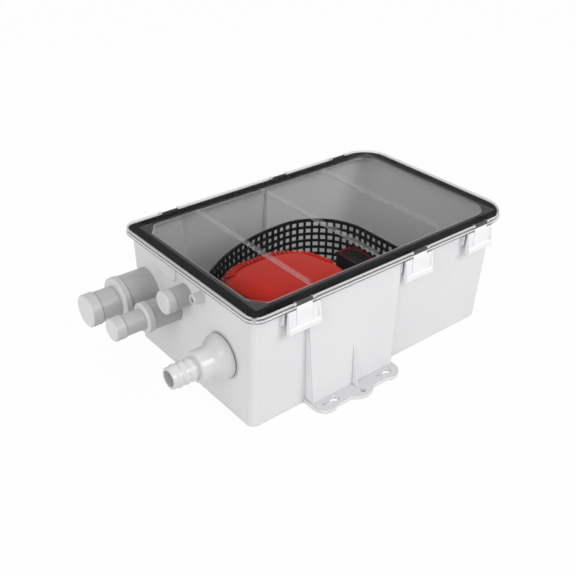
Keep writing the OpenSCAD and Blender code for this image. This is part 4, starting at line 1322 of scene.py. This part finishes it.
@dataclass
class Studio:
    """Camera, soft light, pale floor and white surroundings."""

    eye: tuple[float, float, float] = (-416.9, -510.6, 462.7)
    azimuth: float = -39.56
    elevation: float = 31.72
    roll: float = 0.85
    lens: float = 51.57
    sensor: float = 36.0
    clip: Pair = (0.01, 20.0)
    sky: float = 0.6
    aim: tuple[float, float, float] = (30.0, 0.0, 50.0)
    lamps: tuple[Lamp, ...] = (
        Lamp("key", (500, -1400, 1100), 900, 13),
        Lamp("side", (-1500, -500, 800), 900, 8),
        Lamp("top", (100, 300, 1700), 1100, 2),
    )
    floor_size: float = 12.0
    floor_z: float = -0.2
    paper: tuple[Colour, Colour] = ((0.72, 0.72, 0.72), (0.69, 0.69, 0.69))
    glow: float = 0.97

    def camera(self) -> None:
        """Places the camera where the photograph was taken from."""
        a, e, r = (math.radians(v) for v in (self.azimuth, self.elevation, self.roll))
        back = Vector((math.sin(a) * math.cos(e), -math.cos(a) * math.cos(e), math.sin(e)))
        right = Vector((math.cos(a), math.sin(a), 0))
        up = back.cross(right)
        turned = (
            right * math.cos(r) + up * math.sin(r),
            up * math.cos(r) - right * math.sin(r),
            back,
        )
        Bench.clear()
        bpy.ops.object.camera_add()
        obj = bpy.context.object
        obj.name = "camera"
        obj.data.lens = self.lens
        obj.data.sensor_width = self.sensor
        obj.data.clip_start, obj.data.clip_end = self.clip
        turn = Matrix(turned).transposed().to_4x4()
        obj.matrix_world = Matrix.Translation(Vector(self.eye) * MM) @ turn
        bpy.context.scene.camera = obj

    def light(self) -> None:
        """Hangs the lamps."""
        aim = Vector(self.aim) * MM
        for lamp in self.lamps:
            Bench.clear()
            bpy.ops.object.light_add(type="AREA", location=Vector(lamp.place) * MM)
            obj = bpy.context.object
            obj.name = "lamp_" + lamp.name
            obj.data.size = lamp.size * MM
            obj.data.energy = lamp.power
            obj.rotation_euler = (obj.location - aim).to_track_quat("Z", "Y").to_euler()

    def surroundings(self) -> None:
        """Sets white surroundings: bright to the eye and in reflections, dimmer as a light."""
        world = bpy.data.worlds.new("surroundings")
        world.use_nodes = True
        tree = world.node_tree
        tree.nodes.clear()
        add = partial(add_node, tree)
        greater = {"operation": "MAXIMUM"}
        rays = add("ShaderNodeLightPath").outputs
        pair = {0: rays["Is Glossy Ray"], 1: rays["Is Transmission Ray"]}
        bounced = add("ShaderNodeMath", greater, pair).outputs[0]
        seen = add("ShaderNodeMath", greater, {0: rays["Is Camera Ray"], 1: bounced}).outputs[0]
        dim, bright = (
            add("ShaderNodeBackground", None, {"Color": WHITE, "Strength": strength}).outputs[0]
            for strength in (self.sky, 1.0)
        )
        mix = add("ShaderNodeMixShader", None, {0: seen, 1: dim, 2: bright}).outputs[0]
        add("ShaderNodeOutputWorld", None, {"Surface": mix})
        bpy.context.scene.world = world

    def floor(self) -> None:
        """Lays the pale floor, which keeps the object's soft shadow."""
        Bench.clear()
        bpy.ops.mesh.primitive_plane_add(size=self.floor_size, location=(0, 0, self.floor_z * MM))
        obj = bpy.context.object
        obj.name = "floor"
        s = Shader("floor_paper")
        fibre = s.noise(300, detail=3)
        paper = s.add("ShaderNodeBsdfDiffuse", None, {"Color": s.mix(fibre, *self.paper)})
        glow = s.add("ShaderNodeEmission", None, {"Color": WHITE, "Strength": 1.0})
        rays = s.add("ShaderNodeLightPath").outputs
        share = s.most(rays["Is Camera Ray"], rays["Is Glossy Ray"]) * self.glow
        mix = s.add("ShaderNodeMixShader", None, {0: share, 1: paper.outputs[0], 2: glow.outputs[0]})
        s.tree.links.new(mix.outputs[0], s.out.inputs["Surface"])
        obj.data.materials.append(s.material)

    def build(self) -> None:
        """Sets the whole studio up."""
        self.camera()
        self.light()
        self.surroundings()
        self.floor()
        bpy.context.scene.view_settings.view_transform = "Standard"
        LOG.info("studio is ready")


def main() -> None:
    """Builds the looks piece by piece."""
    logging.basicConfig(level=logging.INFO, format="%(name)s: %(message)s")
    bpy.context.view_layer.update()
    bench = Bench()
    Studio().build()
    for finish, nodes in PARTS.items():
        for node in nodes:
            bench.dress(node, finish)
    Strainer(bench).build()
    Discharge(bench).build()
    PumpCap(bench).build()


if __name__ == "__main__":
    main()
